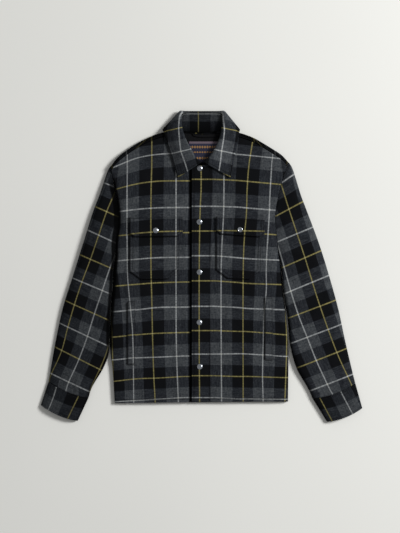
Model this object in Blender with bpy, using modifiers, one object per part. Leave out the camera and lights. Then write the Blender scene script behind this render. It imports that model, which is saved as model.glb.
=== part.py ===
"""Shacket laid flat on its back: a snap-front overshirt with two chest pockets and two hand pockets.

Metres, +Z up. The garment lies on z = 0 with its collar towards +Y. Left and right in names are the
wearer's, so "right" is at -X. Every cloth piece is an open surface with a Solidify modifier. Tables hold
millimetres, read from the plan of the garment, and are turned into metres where they are used.
"""

import math

import bmesh
import bpy
from mathutils import Vector

MM = 0.001

# Moves the middle of the plan to the origin
PLAN_CENTRE = (0.5 * MM, -2.55 * MM, 0.0)

# Driving sizes
CLOTH = 3.0 * MM
POCKET_CLOTH = 2.4 * MM
CUFF_CLOTH = 3.4 * MM
LINING_CLOTH = 1.2 * MM
SEAM_GAP = 0.5 * MM
CAP_GAP = 0.8 * MM
LAY_GAP = 0.35 * MM
LINING_GAP = 0.6 * MM
SHOULDER_SEAM_GAP = 1.0 * MM
COLLAR_SEAM_GAP = 1.0 * MM
COLLAR_SIDE_GAP = 8.0 * MM
COLLAR_SIDE_SHIFT = 2.0 * MM
SHOULDER_HEIGHT = 16.0 * MM
SHOULDER_WRAP = 8.0 * MM
SHOULDER_SEAM_DROP = 13.0 * MM
SIDE_SEAM_HEIGHT = 6.5 * MM
SIDE_SEAM_GAP = 0.5 * MM
SEAM_TURN = 1.0 * MM
ARMHOLE_HEIGHT = 15.0 * MM
UNDERARM_Y = 23.0 * MM
FRONT_ROLL = 26.0 * MM
BACK_ROLL = 12.0 * MM
LAP_EDGE_X = -26.0 * MM
UNDERLAP_EDGE_X = 4.0 * MM
LAP_LIFT = 0.8 * MM
UNDERLAP_SINK = 3.4 * MM
COLLAR_FOLD = 6.6 * MM
COLLAR_FOLD_REACH = 4.5 * MM
COLLAR_CLEAR = 3.6 * MM
SNAP_RADIUS = 7.2 * MM
SNAP_HEIGHT = 2.6 * MM
LOOP_RADIUS = 1.3 * MM

# Height of the front above the surface it lies on: up the garment, height
FRONT_HEIGHTS = ((-353, 12.5), (-250, 14.5), (-120, 17.0), (20, 19.5), (140, 20.5), (230, 19.0), (300, 18.0))

# Side seam and armhole, from the hem up: x, y
RIGHT_SIDE = (
    (-226, -353), (-231, -252), (-232, -183), (-230, -113), (-229, -20), (-225, 23), (-221, 72),
    (-215, 119), (-218, 165), (-226, 205), (-232, 236), (-236, 262),
)
LEFT_SIDE = (
    (224, -349), (225, -228), (222, -174), (217, -114), (211, -67), (207, -15), (202, 23), (197, 58),
    (192, 97), (190, 133), (195, 169), (206, 216), (215, 245), (225, 272),
)

# Shoulder silhouette and back neckline, from the right shoulder to the left: x, y
TOP_LINE = (
    (-236, 262), (-220, 283), (-194, 304), (-163, 324), (-128, 341), (-103, 349), (-88, 351), (-75, 352),
    (-62, 351), (-40, 348), (0, 346), (40, 348), (60, 351), (73, 352), (86, 351), (100, 348), (116, 343),
    (138, 334), (172, 314), (206, 292), (225, 272),
)
NECK_POINTS_X = (-75.0 * MM, 73.0 * MM)

# Front necklines, from the centre front to the neck point: x, y
RIGHT_NECKLINE = ((4, 263), (-14, 265), (-38, 276), (-60, 303), (-72, 326), (-75, 338))
LEFT_NECKLINE = ((-26, 262), (2, 264), (37, 277), (59, 303), (70, 326), (73, 338))

# Sleeve edges from the armhole to the cuff seam: x, y
RIGHT_SLEEVE_OUTER = (
    (-237.5, 262), (-245, 250), (-253, 227), (-267, 185), (-283, 143), (-309, 60), (-335, -23),
    (-361, -106), (-379, -189), (-392, -262), (-398, -297),
)
RIGHT_SLEEVE_INNER = (
    (-227, 22), (-232, -20), (-239, -69), (-245, -136), (-249, -202), (-261, -267), (-284, -310), (-294, -339),
)
LEFT_SLEEVE_OUTER = (
    (226, 272), (235, 257), (245, 227), (258, 185), (274, 143), (305, 60), (331, -23), (354, -106),
    (372, -189), (389, -262), (399, -302),
)
LEFT_SLEEVE_INNER = (
    (204, 22), (209, -15), (213, -69), (223, -133), (229, -199), (246, -262), (274, -311), (288, -341),
)
SLEEVE_HEIGHTS = ((0.0, 15.0), (0.15, 18.0), (0.35, 20.0), (0.6, 18.5), (0.85, 15.5), (1.0, 14.0))
CUFF_SAG = 7.0 * MM

# Cuff ends: x, y, outer edge then inner edge
RIGHT_CUFF_END = ((-418, -358), (-322, -399))
LEFT_CUFF_END = ((417, -366), (325, -401))
CUFF_HEIGHT = 14.0 * MM
CUFF_SEAM_GAP = 0.9 * MM

# Collar stations from the centre front round to the centre back, for the right side: the neck seam, the
# roll line and the edge of the fall, each x, y, z, then the way out of the neck at the roll, x, y, z
RIGHT_COLLAR = (
    ((-9, 266.5, 16.6), (-1, 271, 21.6), (-62, 231, 19.8), (0, 0, 1)),
    ((-21, 271, 16.4), (-15, 282, 21.6), (-69, 255, 19.6), (0, 0, 1)),
    ((-37, 281, 16.4), (-28, 305, 21.4), (-75, 279, 19.5), (0, 0, 1)),
    ((-54, 297, 16.0), (-40, 327, 21.2), (-82, 300, 19.3), (0, 0, 1)),
    ((-64, 313, 15.6), (-47, 344, 21.0), (-88, 318, 19.1), (0, 0, 1)),
    ((-70, 330, 15.0), (-52, 362, 20.4), (-94, 336, 19.0), (-0.1, 0.1, 1)),
    ((-73, 342, 13.4), (-54, 381, 19.4), (-98, 348, 17.0), (-0.4, 0.4, 0.8)),
    ((-72, 353, 9.8), (-53, 402, 13.6), (-101, 357, 9.6), (-0.7, 0.71, 0)),
    ((-67, 353, 7.6), (-49, 404, 8.8), (-99, 351, 4.0), (-0.6, 0.6, -0.5)),
    ((-60, 353, 6.2), (-42, 404, 6.6), (-88, 339, 1.7), (-0.3, 0.3, -0.9)),
    ((-38, 352, 5.2), (-24, 404, 5.0), (-48, 330, 1.6), (0, 0, -1)),
    ((0, 350, 5.2), (0, 404, 4.9), (0, 328, 1.6), (0, 0, -1)),
)
LEFT_COLLAR = (
    ((12, 269, 16.6), (4, 272, 21.6), (74, 232, 19.8), (0, 0, 1)),
    ((22, 275, 16.4), (20, 285, 21.6), (80, 262, 19.6), (0, 0, 1)),
    ((35, 284, 16.4), (31, 301, 21.4), (86, 290, 19.5), (0, 0, 1)),
    ((51, 301, 16.0), (41, 320, 21.2), (90, 310, 19.3), (0, 0, 1)),
    ((61, 315, 15.6), (48, 338, 21.0), (93, 326, 19.1), (0, 0, 1)),
    ((68, 330, 15.0), (53, 362, 20.4), (95, 339, 19.0), (0.1, 0.1, 1)),
    ((71, 342, 13.4), (55, 381, 19.4), (97, 348, 17.0), (0.4, 0.4, 0.8)),
    ((70, 353, 9.8), (55, 402, 13.6), (98, 357, 9.6), (0.7, 0.71, 0)),
    ((65, 353, 7.6), (51, 404, 8.8), (97, 351, 4.0), (0.6, 0.6, -0.5)),
    ((58, 353, 6.2), (43, 404, 6.6), (86, 339, 1.7), (0.3, 0.3, -0.9)),
    ((38, 352, 5.2), (24, 404, 5.0), (48, 330, 1.6), (0, 0, -1)),
    ((0, 350, 5.2), (0, 404, 4.9), (0, 328, 1.6), (0, 0, -1)),
)

# Flat pieces on the fronts: the four corners x, y from the bottom left, anticlockwise, and the cut corners
POCKETS = {
    "pocket_right": ((-188, -33), (-57, -31), (-57, 126), (-187, 124), (30, 22)),
    "pocket_left": ((37, -29), (153, -33), (157, 119), (37, 128), (30, 22)),
}
FLAPS = {
    "flap_right": ((-187, 78), (-49, 79), (-49, 130), (-187, 129), (12, 9)),
    "flap_left": ((37, 86), (162, 77), (163, 122), (37, 131), (12, 9)),
}
WELTS = {
    "welt_right": ((-193, -252), (-172, -252), (-172, -91), (-193, -91), (0, 0)),
    "welt_left": ((163, -240), (184, -240), (184, -79), (163, -79), (0, 0)),
}
FRONT_SNAPS = ((-5, 256), (-6, 117), (-6, -13), (-6, -143), (-5, -258))
FLAP_SNAPS = {"flap_snap_right": (-119, 95), "flap_snap_left": (99, 97)}
NECK_LABEL = ((-34, 271), (44, 326))
HANGER_LOOP = ((-24, 347), (-20, 341), (-8, 338), (16, 337), (40, 339), (50, 342), (53, 347))

# Broad soft folds that show: centre x, y, half length, half width, direction in degrees, height
FOLDS = (
    (-90, 190, 110, 26, 80, 1.2),
    (110, 205, 100, 26, 100, 1.2),
    (-150, -60, 150, 24, 84, 1.3),
    (95, -60, 160, 26, 97, 1.4),
    (60, -230, 120, 22, 92, 1.3),
    (-110, -250, 120, 22, 88, 1.2),
)
SLEEVE_FOLDS = (
    (0.22, 0.55, 0.06, 0.30, 1.8),
    (0.46, 0.72, 0.05, 0.22, 1.6),
    (0.60, 0.35, 0.05, 0.26, 1.4),
    (0.80, 0.60, 0.04, 0.30, 1.5),
)

COLOURS = {
    "wool": ((0.045, 0.047, 0.052), 0.95, 0.0),
    "lining": ((0.008, 0.008, 0.010), 0.7, 0.0),
    "label": ((0.030, 0.028, 0.070), 0.8, 0.0),
    "tape": ((0.010, 0.010, 0.012), 0.8, 0.0),
    "snap": ((0.62, 0.62, 0.60), 0.3, 1.0),
}


def material(name):
    """One Principled BSDF for each kind of stuff, shared by its pieces."""
    if name in bpy.data.materials:
        return bpy.data.materials[name]
    colour, roughness, metallic = COLOURS[name]
    made = bpy.data.materials.new(name)
    made.use_nodes = True
    shader = made.node_tree.nodes["Principled BSDF"]
    shader.inputs["Base Color"].default_value = (*colour, 1.0)
    shader.inputs["Roughness"].default_value = roughness
    shader.inputs["Metallic"].default_value = metallic
    return made


def smooth(value, low, high):
    """Smooth step from 0 at low to 1 at high."""
    t = min(max((value - low) / (high - low), 0.0), 1.0)
    return t * t * (3.0 - 2.0 * t)


def mix(a, b, t):
    return a + (b - a) * t


def through(points, place):
    """A smooth line through points, asked for by row, with parts of a row between."""
    last = len(points) - 2
    k = min(max(int(place), 0), last)
    u = place - k
    p1, p2 = points[k], points[k + 1]
    p0 = points[k - 1] if k > 0 else p1 * 2.0 - p2
    p3 = points[k + 2] if k < last else p2 * 2.0 - p1
    return 0.5 * (
        2.0 * p1
        + (p2 - p0) * u
        + (2.0 * p0 - 5.0 * p1 + 4.0 * p2 - p3) * u ** 2
        + (3.0 * p1 - p0 - 3.0 * p2 + p3) * u ** 3
    )


class Route:
    """A smooth line through a short table of points, asked for by its length from 0 to 1."""

    def __init__(self, points):
        self.points = [Vector(p) * MM for p in points]
        self.reach = [0.0]
        for a, b in zip(self.points, self.points[1:]):
            self.reach.append(self.reach[-1] + (b - a).length)

    def at(self, t):
        wanted = min(max(t, 0.0), 1.0) * self.reach[-1]
        last = len(self.points) - 2
        k = 0
        while k < last and self.reach[k + 1] < wanted:
            k += 1
        return through(self.points, k + (wanted - self.reach[k]) / (self.reach[k + 1] - self.reach[k]))

    def samples(self, count):
        return [self.at(k / (count - 1)) for k in range(count)]


def table_value(rows, place, scale=MM):
    """Value of a two-column table at a place, eased between its rows."""
    if place <= rows[0][0] * scale:
        return rows[0][1] * MM
    for (a, u), (b, v) in zip(rows, rows[1:]):
        if place <= b * scale:
            return mix(u, v, smooth(place, a * scale, b * scale)) * MM
    return rows[-1][1] * MM


class ByAxis:
    """A route read by one of its coordinates, which grows along it."""

    def __init__(self, points, axis, count=240):
        self.axis = axis
        self.line = sorted(Route(points).samples(count), key=lambda p: p[axis])

    def at(self, place):
        line, axis = self.line, self.axis
        if place <= line[0][axis]:
            return line[0].copy()
        low, high = 0, len(line) - 1
        if place >= line[high][axis]:
            return line[high].copy()
        while high - low > 1:
            middle = (low + high) // 2
            if line[middle][axis] <= place:
                low = middle
            else:
                high = middle
        span = line[high][axis] - line[low][axis]
        return line[low].lerp(line[high], (place - line[low][axis]) / span)


right_side = ByAxis(RIGHT_SIDE, 1)
left_side = ByAxis(LEFT_SIDE, 1)
top_line = ByAxis(TOP_LINE, 0)


def fold_height(x, y):
    """Height that the broad folds add at a place on the body."""
    total = 0.0
    for cx, cy, length, width, turn, height in FOLDS:
        dx, dy = x - cx * MM, y - cy * MM
        along = dx * math.cos(math.radians(turn)) + dy * math.sin(math.radians(turn))
        across = -dx * math.sin(math.radians(turn)) + dy * math.cos(math.radians(turn))
        total += height * MM * math.exp(-((along / (length * MM)) ** 2) - (across / (width * MM)) ** 2)
    return total


def roll(distance, reach):
    """Quarter of an ellipse: 0 at the edge, 1 from the reach inwards."""
    inside = min(max(distance / reach, 0.0), 1.0)
    return math.sqrt(max(0.0, 1.0 - (1.0 - inside) ** 2))


def armhole_share(y):
    """0 along the side seam, 1 along the armhole."""
    return smooth(y, UNDERARM_Y - 6 * MM, UNDERARM_Y + 44 * MM)


def front_top(x, y):
    """Height of the fronts' outer face, with its roll to the side seam and its dip to the armhole."""
    top = table_value(FRONT_HEIGHTS, y) * (1.0 - 0.10 * (x / (230 * MM)) ** 2) + fold_height(x, y)
    below_shoulder = top_line.at(x).y - y
    top = mix(SHOULDER_HEIGHT, top, smooth(below_shoulder, SHOULDER_SEAM_DROP, 60 * MM))
    edge = right_side.at(y).x if x < 0 else left_side.at(y).x
    inwards = abs(edge) - abs(x)
    seam = mix(SIDE_SEAM_HEIGHT + SEAM_TURN, ARMHOLE_HEIGHT, armhole_share(y))
    ease = math.sin(0.5 * math.pi * min(max(inwards / FRONT_ROLL, 0.0), 1.0))
    return seam + (top - seam) * mix(roll(inwards, FRONT_ROLL), ease, armhole_share(y))


def right_front_top(x, y):
    """The right front sinks below the left one where they lap."""
    return front_top(x, y) - UNDERLAP_SINK * smooth(x, -42 * MM, -28 * MM)


def left_front_top(x, y):
    return front_top(x, y) + LAP_LIFT * (1.0 - smooth(x, LAP_EDGE_X, 20 * MM))


def neck_raise(x, y):
    """The back lies on the collar's fall near the neck."""
    return COLLAR_CLEAR * smooth(y, 282 * MM, 324 * MM) * (1.0 - smooth(abs(x), 104 * MM, 132 * MM))


def back_under(x, y):
    """Height of the back's outer face, which lies on the surface and curls up at its side seams."""
    edge = right_side.at(y).x if x < 0 else left_side.at(y).x
    curl = (SIDE_SEAM_HEIGHT - SIDE_SEAM_GAP - SEAM_TURN) * (1.0 - armhole_share(y))
    return curl * (1.0 - roll(abs(edge) - abs(x), BACK_ROLL)) + neck_raise(x, y)


def sheet_object(name, grid, wall, kind, offset=-1.0, ring=False):
    """A sheet through a grid of points, made a wall by Solidify. Its faces look up or out of a ring."""
    mesh = bpy.data.meshes.new(name)
    shape = bmesh.new()
    verts = [[shape.verts.new(p) for p in row] for row in grid]
    columns = len(grid[0])
    for low, high in zip(verts, verts[1:]):
        for k in range(columns if ring else columns - 1):
            after = (k + 1) % columns
            shape.faces.new((low[k], low[after], high[after], high[k]))
    shape.to_mesh(mesh)
    shape.free()
    made = bpy.data.objects.new(name, mesh)
    made.data.materials.append(material(kind))
    garment.objects.link(made)
    made.parent = root
    solid = made.modifiers.new("wall", "SOLIDIFY")
    solid.thickness = wall
    solid.offset = offset
    solid.use_even_offset = False
    return made


def row_places(low, bend, high, below, above):
    """Row heights: coarse from low to bend, finer from bend to high."""
    first = [mix(low, bend, k / below) for k in range(below)]
    return first + [mix(bend, high, k / above) for k in range(above + 1)]


def edge_columns(width, count, at_start, at_end):
    """Shares of a width from 0 to 1, with named distances kept at each end and even steps between."""
    start = [d * MM / width for d in at_start]
    end = [1.0 - d * MM / width for d in reversed(at_end)]
    steps = [mix(start[-1], end[0], k / count) for k in range(1, count)]
    return start + steps + end


def front_panel(name, side, neckline, centre_x, height, at_edge):
    """One front: side seam and armhole outside, centre edge and neckline inside, shoulder seam on top."""
    neck = ByAxis(neckline, 1)
    hem_outer, hem_inner = side.at(-1.0), Vector((centre_x, -350 * MM))
    neck_top = neck.at(1.0)
    shoulder_y = top_line.at(side.at(1.0).x).y - SHOULDER_SEAM_DROP
    grid = []
    rows = row_places(0.0, (UNDERARM_Y - hem_outer.y) / (shoulder_y - hem_outer.y), 1.0, 10, 12)
    for t in rows:
        outer = side.at(mix(hem_outer.y, shoulder_y, t))
        y_inner = mix(hem_inner.y, neck_top.y, t)
        inner = neck.at(y_inner) if y_inner > neck.at(-1.0).y else Vector((centre_x, y_inner))
        inwards = 1.0 if inner.x > outer.x else -1.0
        line = []
        turn = 1.0 - armhole_share(outer.y)
        first = (0, 1.2 * (1.0 - turn), 2.5, 6, 11, 18, 27)
        for k, s in enumerate(edge_columns(abs(inner.x - outer.x), 7, first, at_edge)):
            x = mix(outer.x, inner.x, s)
            y = mix(outer.y, inner.y, s)
            seam = top_line.at(x).y - SHOULDER_SEAM_DROP
            straight = mix(shoulder_y, neck_top.y, s)
            y += (seam - straight) * smooth(t, 0.72, 1.0) * (1.0 if 0.0 < s < 1.0 else 0.0)
            line.append(Vector((x, y, height(x, y) - (SEAM_TURN * turn if k == 0 else 0.0))))
        grid.append(line if inwards > 0 else line[::-1])
    return sheet_object(name, grid, CLOTH, "wool")


def back_panel():
    """The back: flat on the surface, curled at the side seams, wrapped forward over both shoulders."""
    left_top, right_top = top_line.at(1.0), top_line.at(-1.0)
    flat_end = 22 * MM
    wrap_rows = 7
    arc = math.pi * 0.5 * (SHOULDER_WRAP + SHOULDER_HEIGHT * 0.5)
    flat = flat_end - SHOULDER_WRAP
    after = SHOULDER_SEAM_DROP - SHOULDER_WRAP - SHOULDER_SEAM_GAP
    path = flat + arc + after
    inner_x = (-195, -160, -126, -104, -88, -78, -70, -55, -28, 0, 28, 55, 68, 76, 86, 102, 124, 154, 184)
    grid = []
    rows = row_places(0.0, 0.6, 1.0, 8, 7)
    edge = (0, 0, 2, 6, 12, 25)
    ends = [right_top.x + d * MM for d in edge] + [x * MM for x in inner_x]
    ends += [left_top.x - d * MM for d in reversed(edge)]
    low_right, low_left = right_side.at(-1.0).y, left_side.at(-1.0).y
    for t in rows:
        line = []
        right = right_side.at(mix(low_right, right_top.y - flat_end, t))
        left = left_side.at(mix(low_left, left_top.y - flat_end, t))
        turn = 1.0 - armhole_share(right.y)
        for k, x_top in enumerate(ends):
            s = (x_top - right_top.x) / (left_top.x - right_top.x)
            from_right, from_left = x_top - right_top.x, left_top.x - x_top
            nearest = min(from_right, from_left)
            if k in (1, len(ends) - 2):
                nearest = 1.0 * MM * (1.0 - turn)
            if nearest < 26 * MM:
                x = right.x + nearest if from_right < from_left else left.x - nearest
            else:
                x = mix(right.x, left.x, s)
            y = mix(mix(low_right, low_left, s), top_line.at(x_top).y - flat_end, t)
            lift = SEAM_TURN * turn if k in (0, len(ends) - 1) else 0.0
            line.append(Vector((x, y, back_under(x, y) + lift)))
        grid.append(line)
    for k in range(1, wrap_rows + 1):
        gone = path * k / wrap_rows
        line = []
        for at, x_top in enumerate(ends):
            if at in (1, len(ends) - 2):
                x_top += 1.0 * MM if at == 1 else -1.0 * MM
            top_y = top_line.at(x_top).y
            lift = neck_raise(x_top, top_y)
            half = 0.5 * (SHOULDER_HEIGHT - lift)
            if gone < flat:
                wrapped = Vector((0.0, gone - flat_end, lift))
            elif gone < flat + arc:
                turn = math.pi * (gone - flat) / arc
                rise = lift + half * (1.0 - math.cos(turn))
                wrapped = Vector((0.0, SHOULDER_WRAP * (math.sin(turn) - 1.0), rise))
            else:
                wrapped = Vector((0.0, -SHOULDER_WRAP - (gone - flat - arc), SHOULDER_HEIGHT))
            level = Vector((0.0, -flat_end * (1.0 - k / wrap_rows), lift))
            outside = smooth(abs(x_top - 0.5 * sum(NECK_POINTS_X)), 70 * MM, 78 * MM)
            offset = level.lerp(wrapped, outside)
            y = top_y + offset.y
            if at < len(edge):
                x = right_side.at(y).x + x_top - right_top.x
            elif at >= len(ends) - len(edge):
                x = left_side.at(y).x + x_top - left_top.x
            else:
                x = x_top
            line.append(Vector((x, top_line.at(x).y + offset.y, offset.z)))
        grid.append(line)
    return sheet_object("back", grid, CLOTH, "wool", offset=1.0)


def sleeve_ring(outer, inner, bulge, t, height, fold_z, q, upper):
    """One point of a flattened tube: q runs from the outer fold to the inner fold."""
    place = outer.lerp(inner, q) + bulge
    width = (inner - outer).length
    inwards = min(q, 1.0 - q) * width
    if upper:
        z = fold_z + (height - fold_z) * roll(inwards, min(24 * MM, width * 0.4))
        for at_t, at_q, long, wide, high in SLEEVE_FOLDS:
            hump = math.exp(-(((t - at_t + 0.10 * (q - at_q)) / long) ** 2) - ((q - at_q) / wide) ** 2)
            z += high * MM * hump * roll(inwards, 30 * MM)
    else:
        z = fold_z * (1.0 - roll(inwards, min(14 * MM, width * 0.3)))
    return Vector((place.x, place.y, z))


def ring_columns(width):
    """Shares round a flattened tube, first over its top and then back under it."""
    shares = edge_columns(width, 6, (0, 2, 6, 13, 23), (0, 2, 6, 13, 23))
    over = [(q, True) for q in shares]
    under = [(q, False) for q in reversed(shares[1:-1])]
    return over + under


def sleeve(name, outer_table, inner_table, side, side_sign):
    """A one-piece sleeve: a flattened tube from the armhole to the cuff seam."""
    outer, inner = Route(outer_table), Route(inner_table)
    top, bottom = outer.at(0.0), inner.at(0.0)
    grid = []
    count = 17
    for k in range(count + 1):
        t = (k / count) ** 1.15
        o, i = outer.at(t), inner.at(t)
        height = table_value(SLEEVE_HEIGHTS, t, scale=1.0)
        line = []
        for q, upper in ring_columns((i - o).length):
            armhole = side.at(mix(top.y, bottom.y, q))
            across = top.lerp(bottom, q)
            gap = SEAM_GAP + CAP_GAP * (1.0 - q)
            bend = Vector((armhole.x + side_sign * gap - across.x, 0.0)) * (1.0 - t) ** 3
            if k == 0 and q in (0.0, 1.0):
                bend = Vector((0.0, 0.0))
            droop = Vector((0.0, -CUFF_SAG * 4.0 * q * (1.0 - q) * t ** 3))
            line.append(sleeve_ring(o, i, bend + droop, t, height, 0.42 * height, q, upper))
        grid.append(line if side_sign > 0 else line[::-1])
    return sheet_object(name, grid, CLOTH, "wool", ring=True)


def cuff(name, outer_table, inner_table, end, side_sign):
    """A closed band sewn to the end of a sleeve."""
    start_outer, start_inner = Route(outer_table).at(1.0), Route(inner_table).at(1.0)
    end_outer, end_inner = (Vector(p) * MM for p in end)
    grid = []
    rows = 4
    for k in range(rows + 1):
        t = k / rows
        o, i = start_outer.lerp(end_outer, t), start_inner.lerp(end_inner, t)
        along = (end_outer + end_inner - start_outer - start_inner).normalized()
        line = []
        for q, upper in ring_columns((i - o).length):
            droop = Vector((0.0, -CUFF_SAG * 4.0 * q * (1.0 - q))) + along * CUFF_SEAM_GAP * (1.0 - t)
            line.append(sleeve_ring(o, i, droop, 2.0, CUFF_HEIGHT, 0.42 * CUFF_HEIGHT, q, upper))
        grid.append(line if side_sign > 0 else line[::-1])
    return sheet_object(name, grid, CUFF_CLOTH, "wool", ring=True)


def collar_stations():
    """The collar's sections, smoothed from the right point round the back of the neck to the left point."""
    rows = list(RIGHT_COLLAR) + list(reversed(LEFT_COLLAR[:-1]))
    count = 2 * 18 + 1
    found = []
    for k in range(count):
        place = k / (count - 1) * (len(rows) - 1)
        seam, crest, edge = (through([Vector(row[part]) * MM for row in rows], place) for part in range(3))
        way = through([Vector(row[3]) for row in rows], place).normalized()
        found.append((seam, crest, edge, way))
    return found


def collar_pieces():
    """The stand from the neck seam to the roll, and the fall folded over it."""
    stand_grid, fall_grid = [], []
    fold_steps = 5
    fall_steps = 5
    for seam, crest, edge, out in collar_stations():
        back_way = crest - edge
        back_way.z = 0.0
        back_way.normalize()
        centre = crest - back_way * COLLAR_FOLD_REACH
        inside = centre - out * COLLAR_FOLD * 0.5
        outside = centre + out * COLLAR_FOLD * 0.5
        side_share = 1.0 - min(abs(out.z), 1.0)
        gap = mix(COLLAR_SEAM_GAP, COLLAR_SIDE_GAP, side_share)
        top_edge = inside + (seam - inside).normalized() * gap - out * COLLAR_SIDE_SHIFT * side_share
        stand_grid.append([seam.lerp(top_edge, k / 4) for k in range(5)])
        line = []
        for k in range(fold_steps + 1):
            turn = math.pi * k / fold_steps
            line.append(
                centre
                - out * COLLAR_FOLD * 0.5 * math.cos(turn)
                + back_way * COLLAR_FOLD_REACH * math.sin(turn)
            )
        for k in range(1, fall_steps + 1):
            place = outside.lerp(edge, k / fall_steps)
            if out.z > 0.5:
                place.z = max(place.z, front_top(place.x, place.y) + 0.5 * CLOTH + LINING_GAP)
            line.append(place)
        fall_grid.append(line)
    sheet_object("collar_stand", stand_grid, CLOTH, "wool", offset=0.0)
    sheet_object("collar", fall_grid, CLOTH, "wool", offset=0.0)


def patch_point(corners, s, t):
    """A place inside four corners given from the bottom left, anticlockwise."""
    a, b, c, d = (Vector(corner) * MM for corner in corners[:4])
    return a.lerp(b, s).lerp(d.lerp(c, s), t)


def flat_patch(name, corners, layer, wall, steps):
    """A piece that lies on a front, made from the front's own points moved up. Its low corners are cut."""
    cut_x, cut_y = (c * MM for c in corners[4])
    a, b, c, d = (Vector(corner) * MM for corner in corners[:4])
    width, length = (b - a).length, (d - a).length
    across, along = steps
    lows = [0.0, cut_y / length] if cut_y else [0.0]
    shares = lows + [mix(lows[-1], 1.0, k / along) for k in range(1, along + 1)]
    grid = []
    for t in shares:
        pull = (cut_x / width) * (1.0 - t * length / cut_y) if cut_y and t * length < cut_y else 0.0
        line = []
        for k in range(across + 1):
            s = mix(pull, 1.0 - pull, k / across)
            place = patch_point(corners, s, t)
            height = right_front_top if place.x < LAP_EDGE_X else left_front_top
            line.append(Vector((place.x, place.y, height(place.x, place.y) + layer)))
        grid.append(line)
    return sheet_object(name, grid, wall, "wool")


def snap(name, place, base):
    """A domed snap cap turned from its profile."""
    profile = (
        (0.0, SNAP_HEIGHT),
        (SNAP_RADIUS * 0.38, SNAP_HEIGHT * 0.95),
        (SNAP_RADIUS * 0.70, SNAP_HEIGHT * 0.76),
        (SNAP_RADIUS * 0.92, SNAP_HEIGHT * 0.45),
        (SNAP_RADIUS, SNAP_HEIGHT * 0.15),
        (SNAP_RADIUS * 0.96, 0.0),
        (0.0, 0.0),
    )
    mesh = bpy.data.meshes.new(name)
    mesh.from_pydata([(r, 0.0, z) for r, z in profile], [(k, k + 1) for k in range(len(profile) - 1)], [])
    made = bpy.data.objects.new(name, mesh)
    made.data.materials.append(material("snap"))
    made.location = (place[0] * MM, place[1] * MM, base)
    garment.objects.link(made)
    made.parent = root
    turned = made.modifiers.new("turned", "SCREW")
    turned.steps = 16
    turned.render_steps = 16
    turned.use_merge_vertices = True
    turned.merge_threshold = 0.00005
    return made


def lining_top(x, y):
    """Height of the lining's upper face over the back."""
    return back_under(x, y) + CLOTH + LINING_GAP + LINING_CLOTH


def neck_lining():
    """Dark lining on the inside of the back, from the back neckline to just under the fronts."""
    grid = []
    rows, columns = 8, 12
    for j in range(rows + 1):
        line = []
        for k in range(columns + 1):
            x = mix(-66 * MM, 64 * MM, k / columns)
            high = top_line.at(x).y - 5 * MM
            y = mix(238 * MM, high, j / rows)
            line.append(Vector((x, y, lining_top(x, y))))
        grid.append(line)
    return sheet_object("neck_lining", grid, LINING_CLOTH, "lining")


def neck_label():
    """A bare woven label on the lining."""
    (x0, y0), (x1, y1) = NECK_LABEL
    wall = 0.8 * MM
    grid = []
    for j in range(5):
        y = mix(y0, y1, j / 4) * MM
        grid.append([
            Vector((x, y, lining_top(x, y) + LINING_GAP + wall))
            for x in (mix(x0, x1, k / 4) * MM for k in range(5))
        ])
    return sheet_object("neck_label", grid, wall, "label")


def hanger_loop():
    """A cord loop that lies on the lining under the back neckline."""
    curve = bpy.data.curves.new("hanger_loop", "CURVE")
    curve.dimensions = "3D"
    curve.bevel_depth = LOOP_RADIUS
    curve.bevel_resolution = 1
    curve.use_fill_caps = True
    points = Route(HANGER_LOOP).samples(13)
    spline = curve.splines.new("POLY")
    spline.points.add(len(points) - 1)
    for point, place in zip(spline.points, points):
        height = lining_top(place.x, place.y) + LAY_GAP + LOOP_RADIUS
        point.co = (place.x, place.y, height, 1.0)
    made = bpy.data.objects.new("hanger_loop", curve)
    made.data.materials.append(material("tape"))
    garment.objects.link(made)
    made.parent = root
    return made


for old in list(bpy.data.objects):
    bpy.data.objects.remove(old, do_unlink=True)
garment = bpy.data.collections.new("shacket")
bpy.context.scene.collection.children.link(garment)
root = bpy.data.objects.new("root", None)
root.location = PLAN_CENTRE
garment.objects.link(root)

back_panel()
front_panel("front_right", right_side, RIGHT_NECKLINE, UNDERLAP_EDGE_X, right_front_top, (0, 16, 32, 40, 46))
front_panel("front_left", left_side, LEFT_NECKLINE, LAP_EDGE_X, left_front_top, (0, 10, 22))
sleeve("sleeve_right", RIGHT_SLEEVE_OUTER, RIGHT_SLEEVE_INNER, right_side, -1.0)
sleeve("sleeve_left", LEFT_SLEEVE_OUTER, LEFT_SLEEVE_INNER, left_side, 1.0)
cuff("cuff_right", RIGHT_SLEEVE_OUTER, RIGHT_SLEEVE_INNER, RIGHT_CUFF_END, -1.0)
cuff("cuff_left", LEFT_SLEEVE_OUTER, LEFT_SLEEVE_INNER, LEFT_CUFF_END, 1.0)
collar_pieces()
pocket_layer = LAY_GAP + POCKET_CLOTH
for pocket_name, pocket_corners in POCKETS.items():
    flat_patch(pocket_name, pocket_corners, pocket_layer, POCKET_CLOTH, (7, 7))
for flap_name, flap_corners in FLAPS.items():
    flat_patch(flap_name, flap_corners, 2 * pocket_layer, POCKET_CLOTH, (7, 3))
for welt_name, welt_corners in WELTS.items():
    flat_patch(welt_name, welt_corners, pocket_layer, POCKET_CLOTH, (2, 8))
for number, (snap_x, snap_y) in enumerate(FRONT_SNAPS, 1):
    snap(f"snap_{number}", (snap_x, snap_y), left_front_top(snap_x * MM, snap_y * MM) + LAY_GAP)
for snap_name, (snap_x, snap_y) in FLAP_SNAPS.items():
    on_flap = front_top(snap_x * MM, snap_y * MM) + 2 * pocket_layer + LAY_GAP
    snap(snap_name, (snap_x, snap_y), on_flap)
neck_lining()
neck_label()
hanger_loop()
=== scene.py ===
import math

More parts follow.
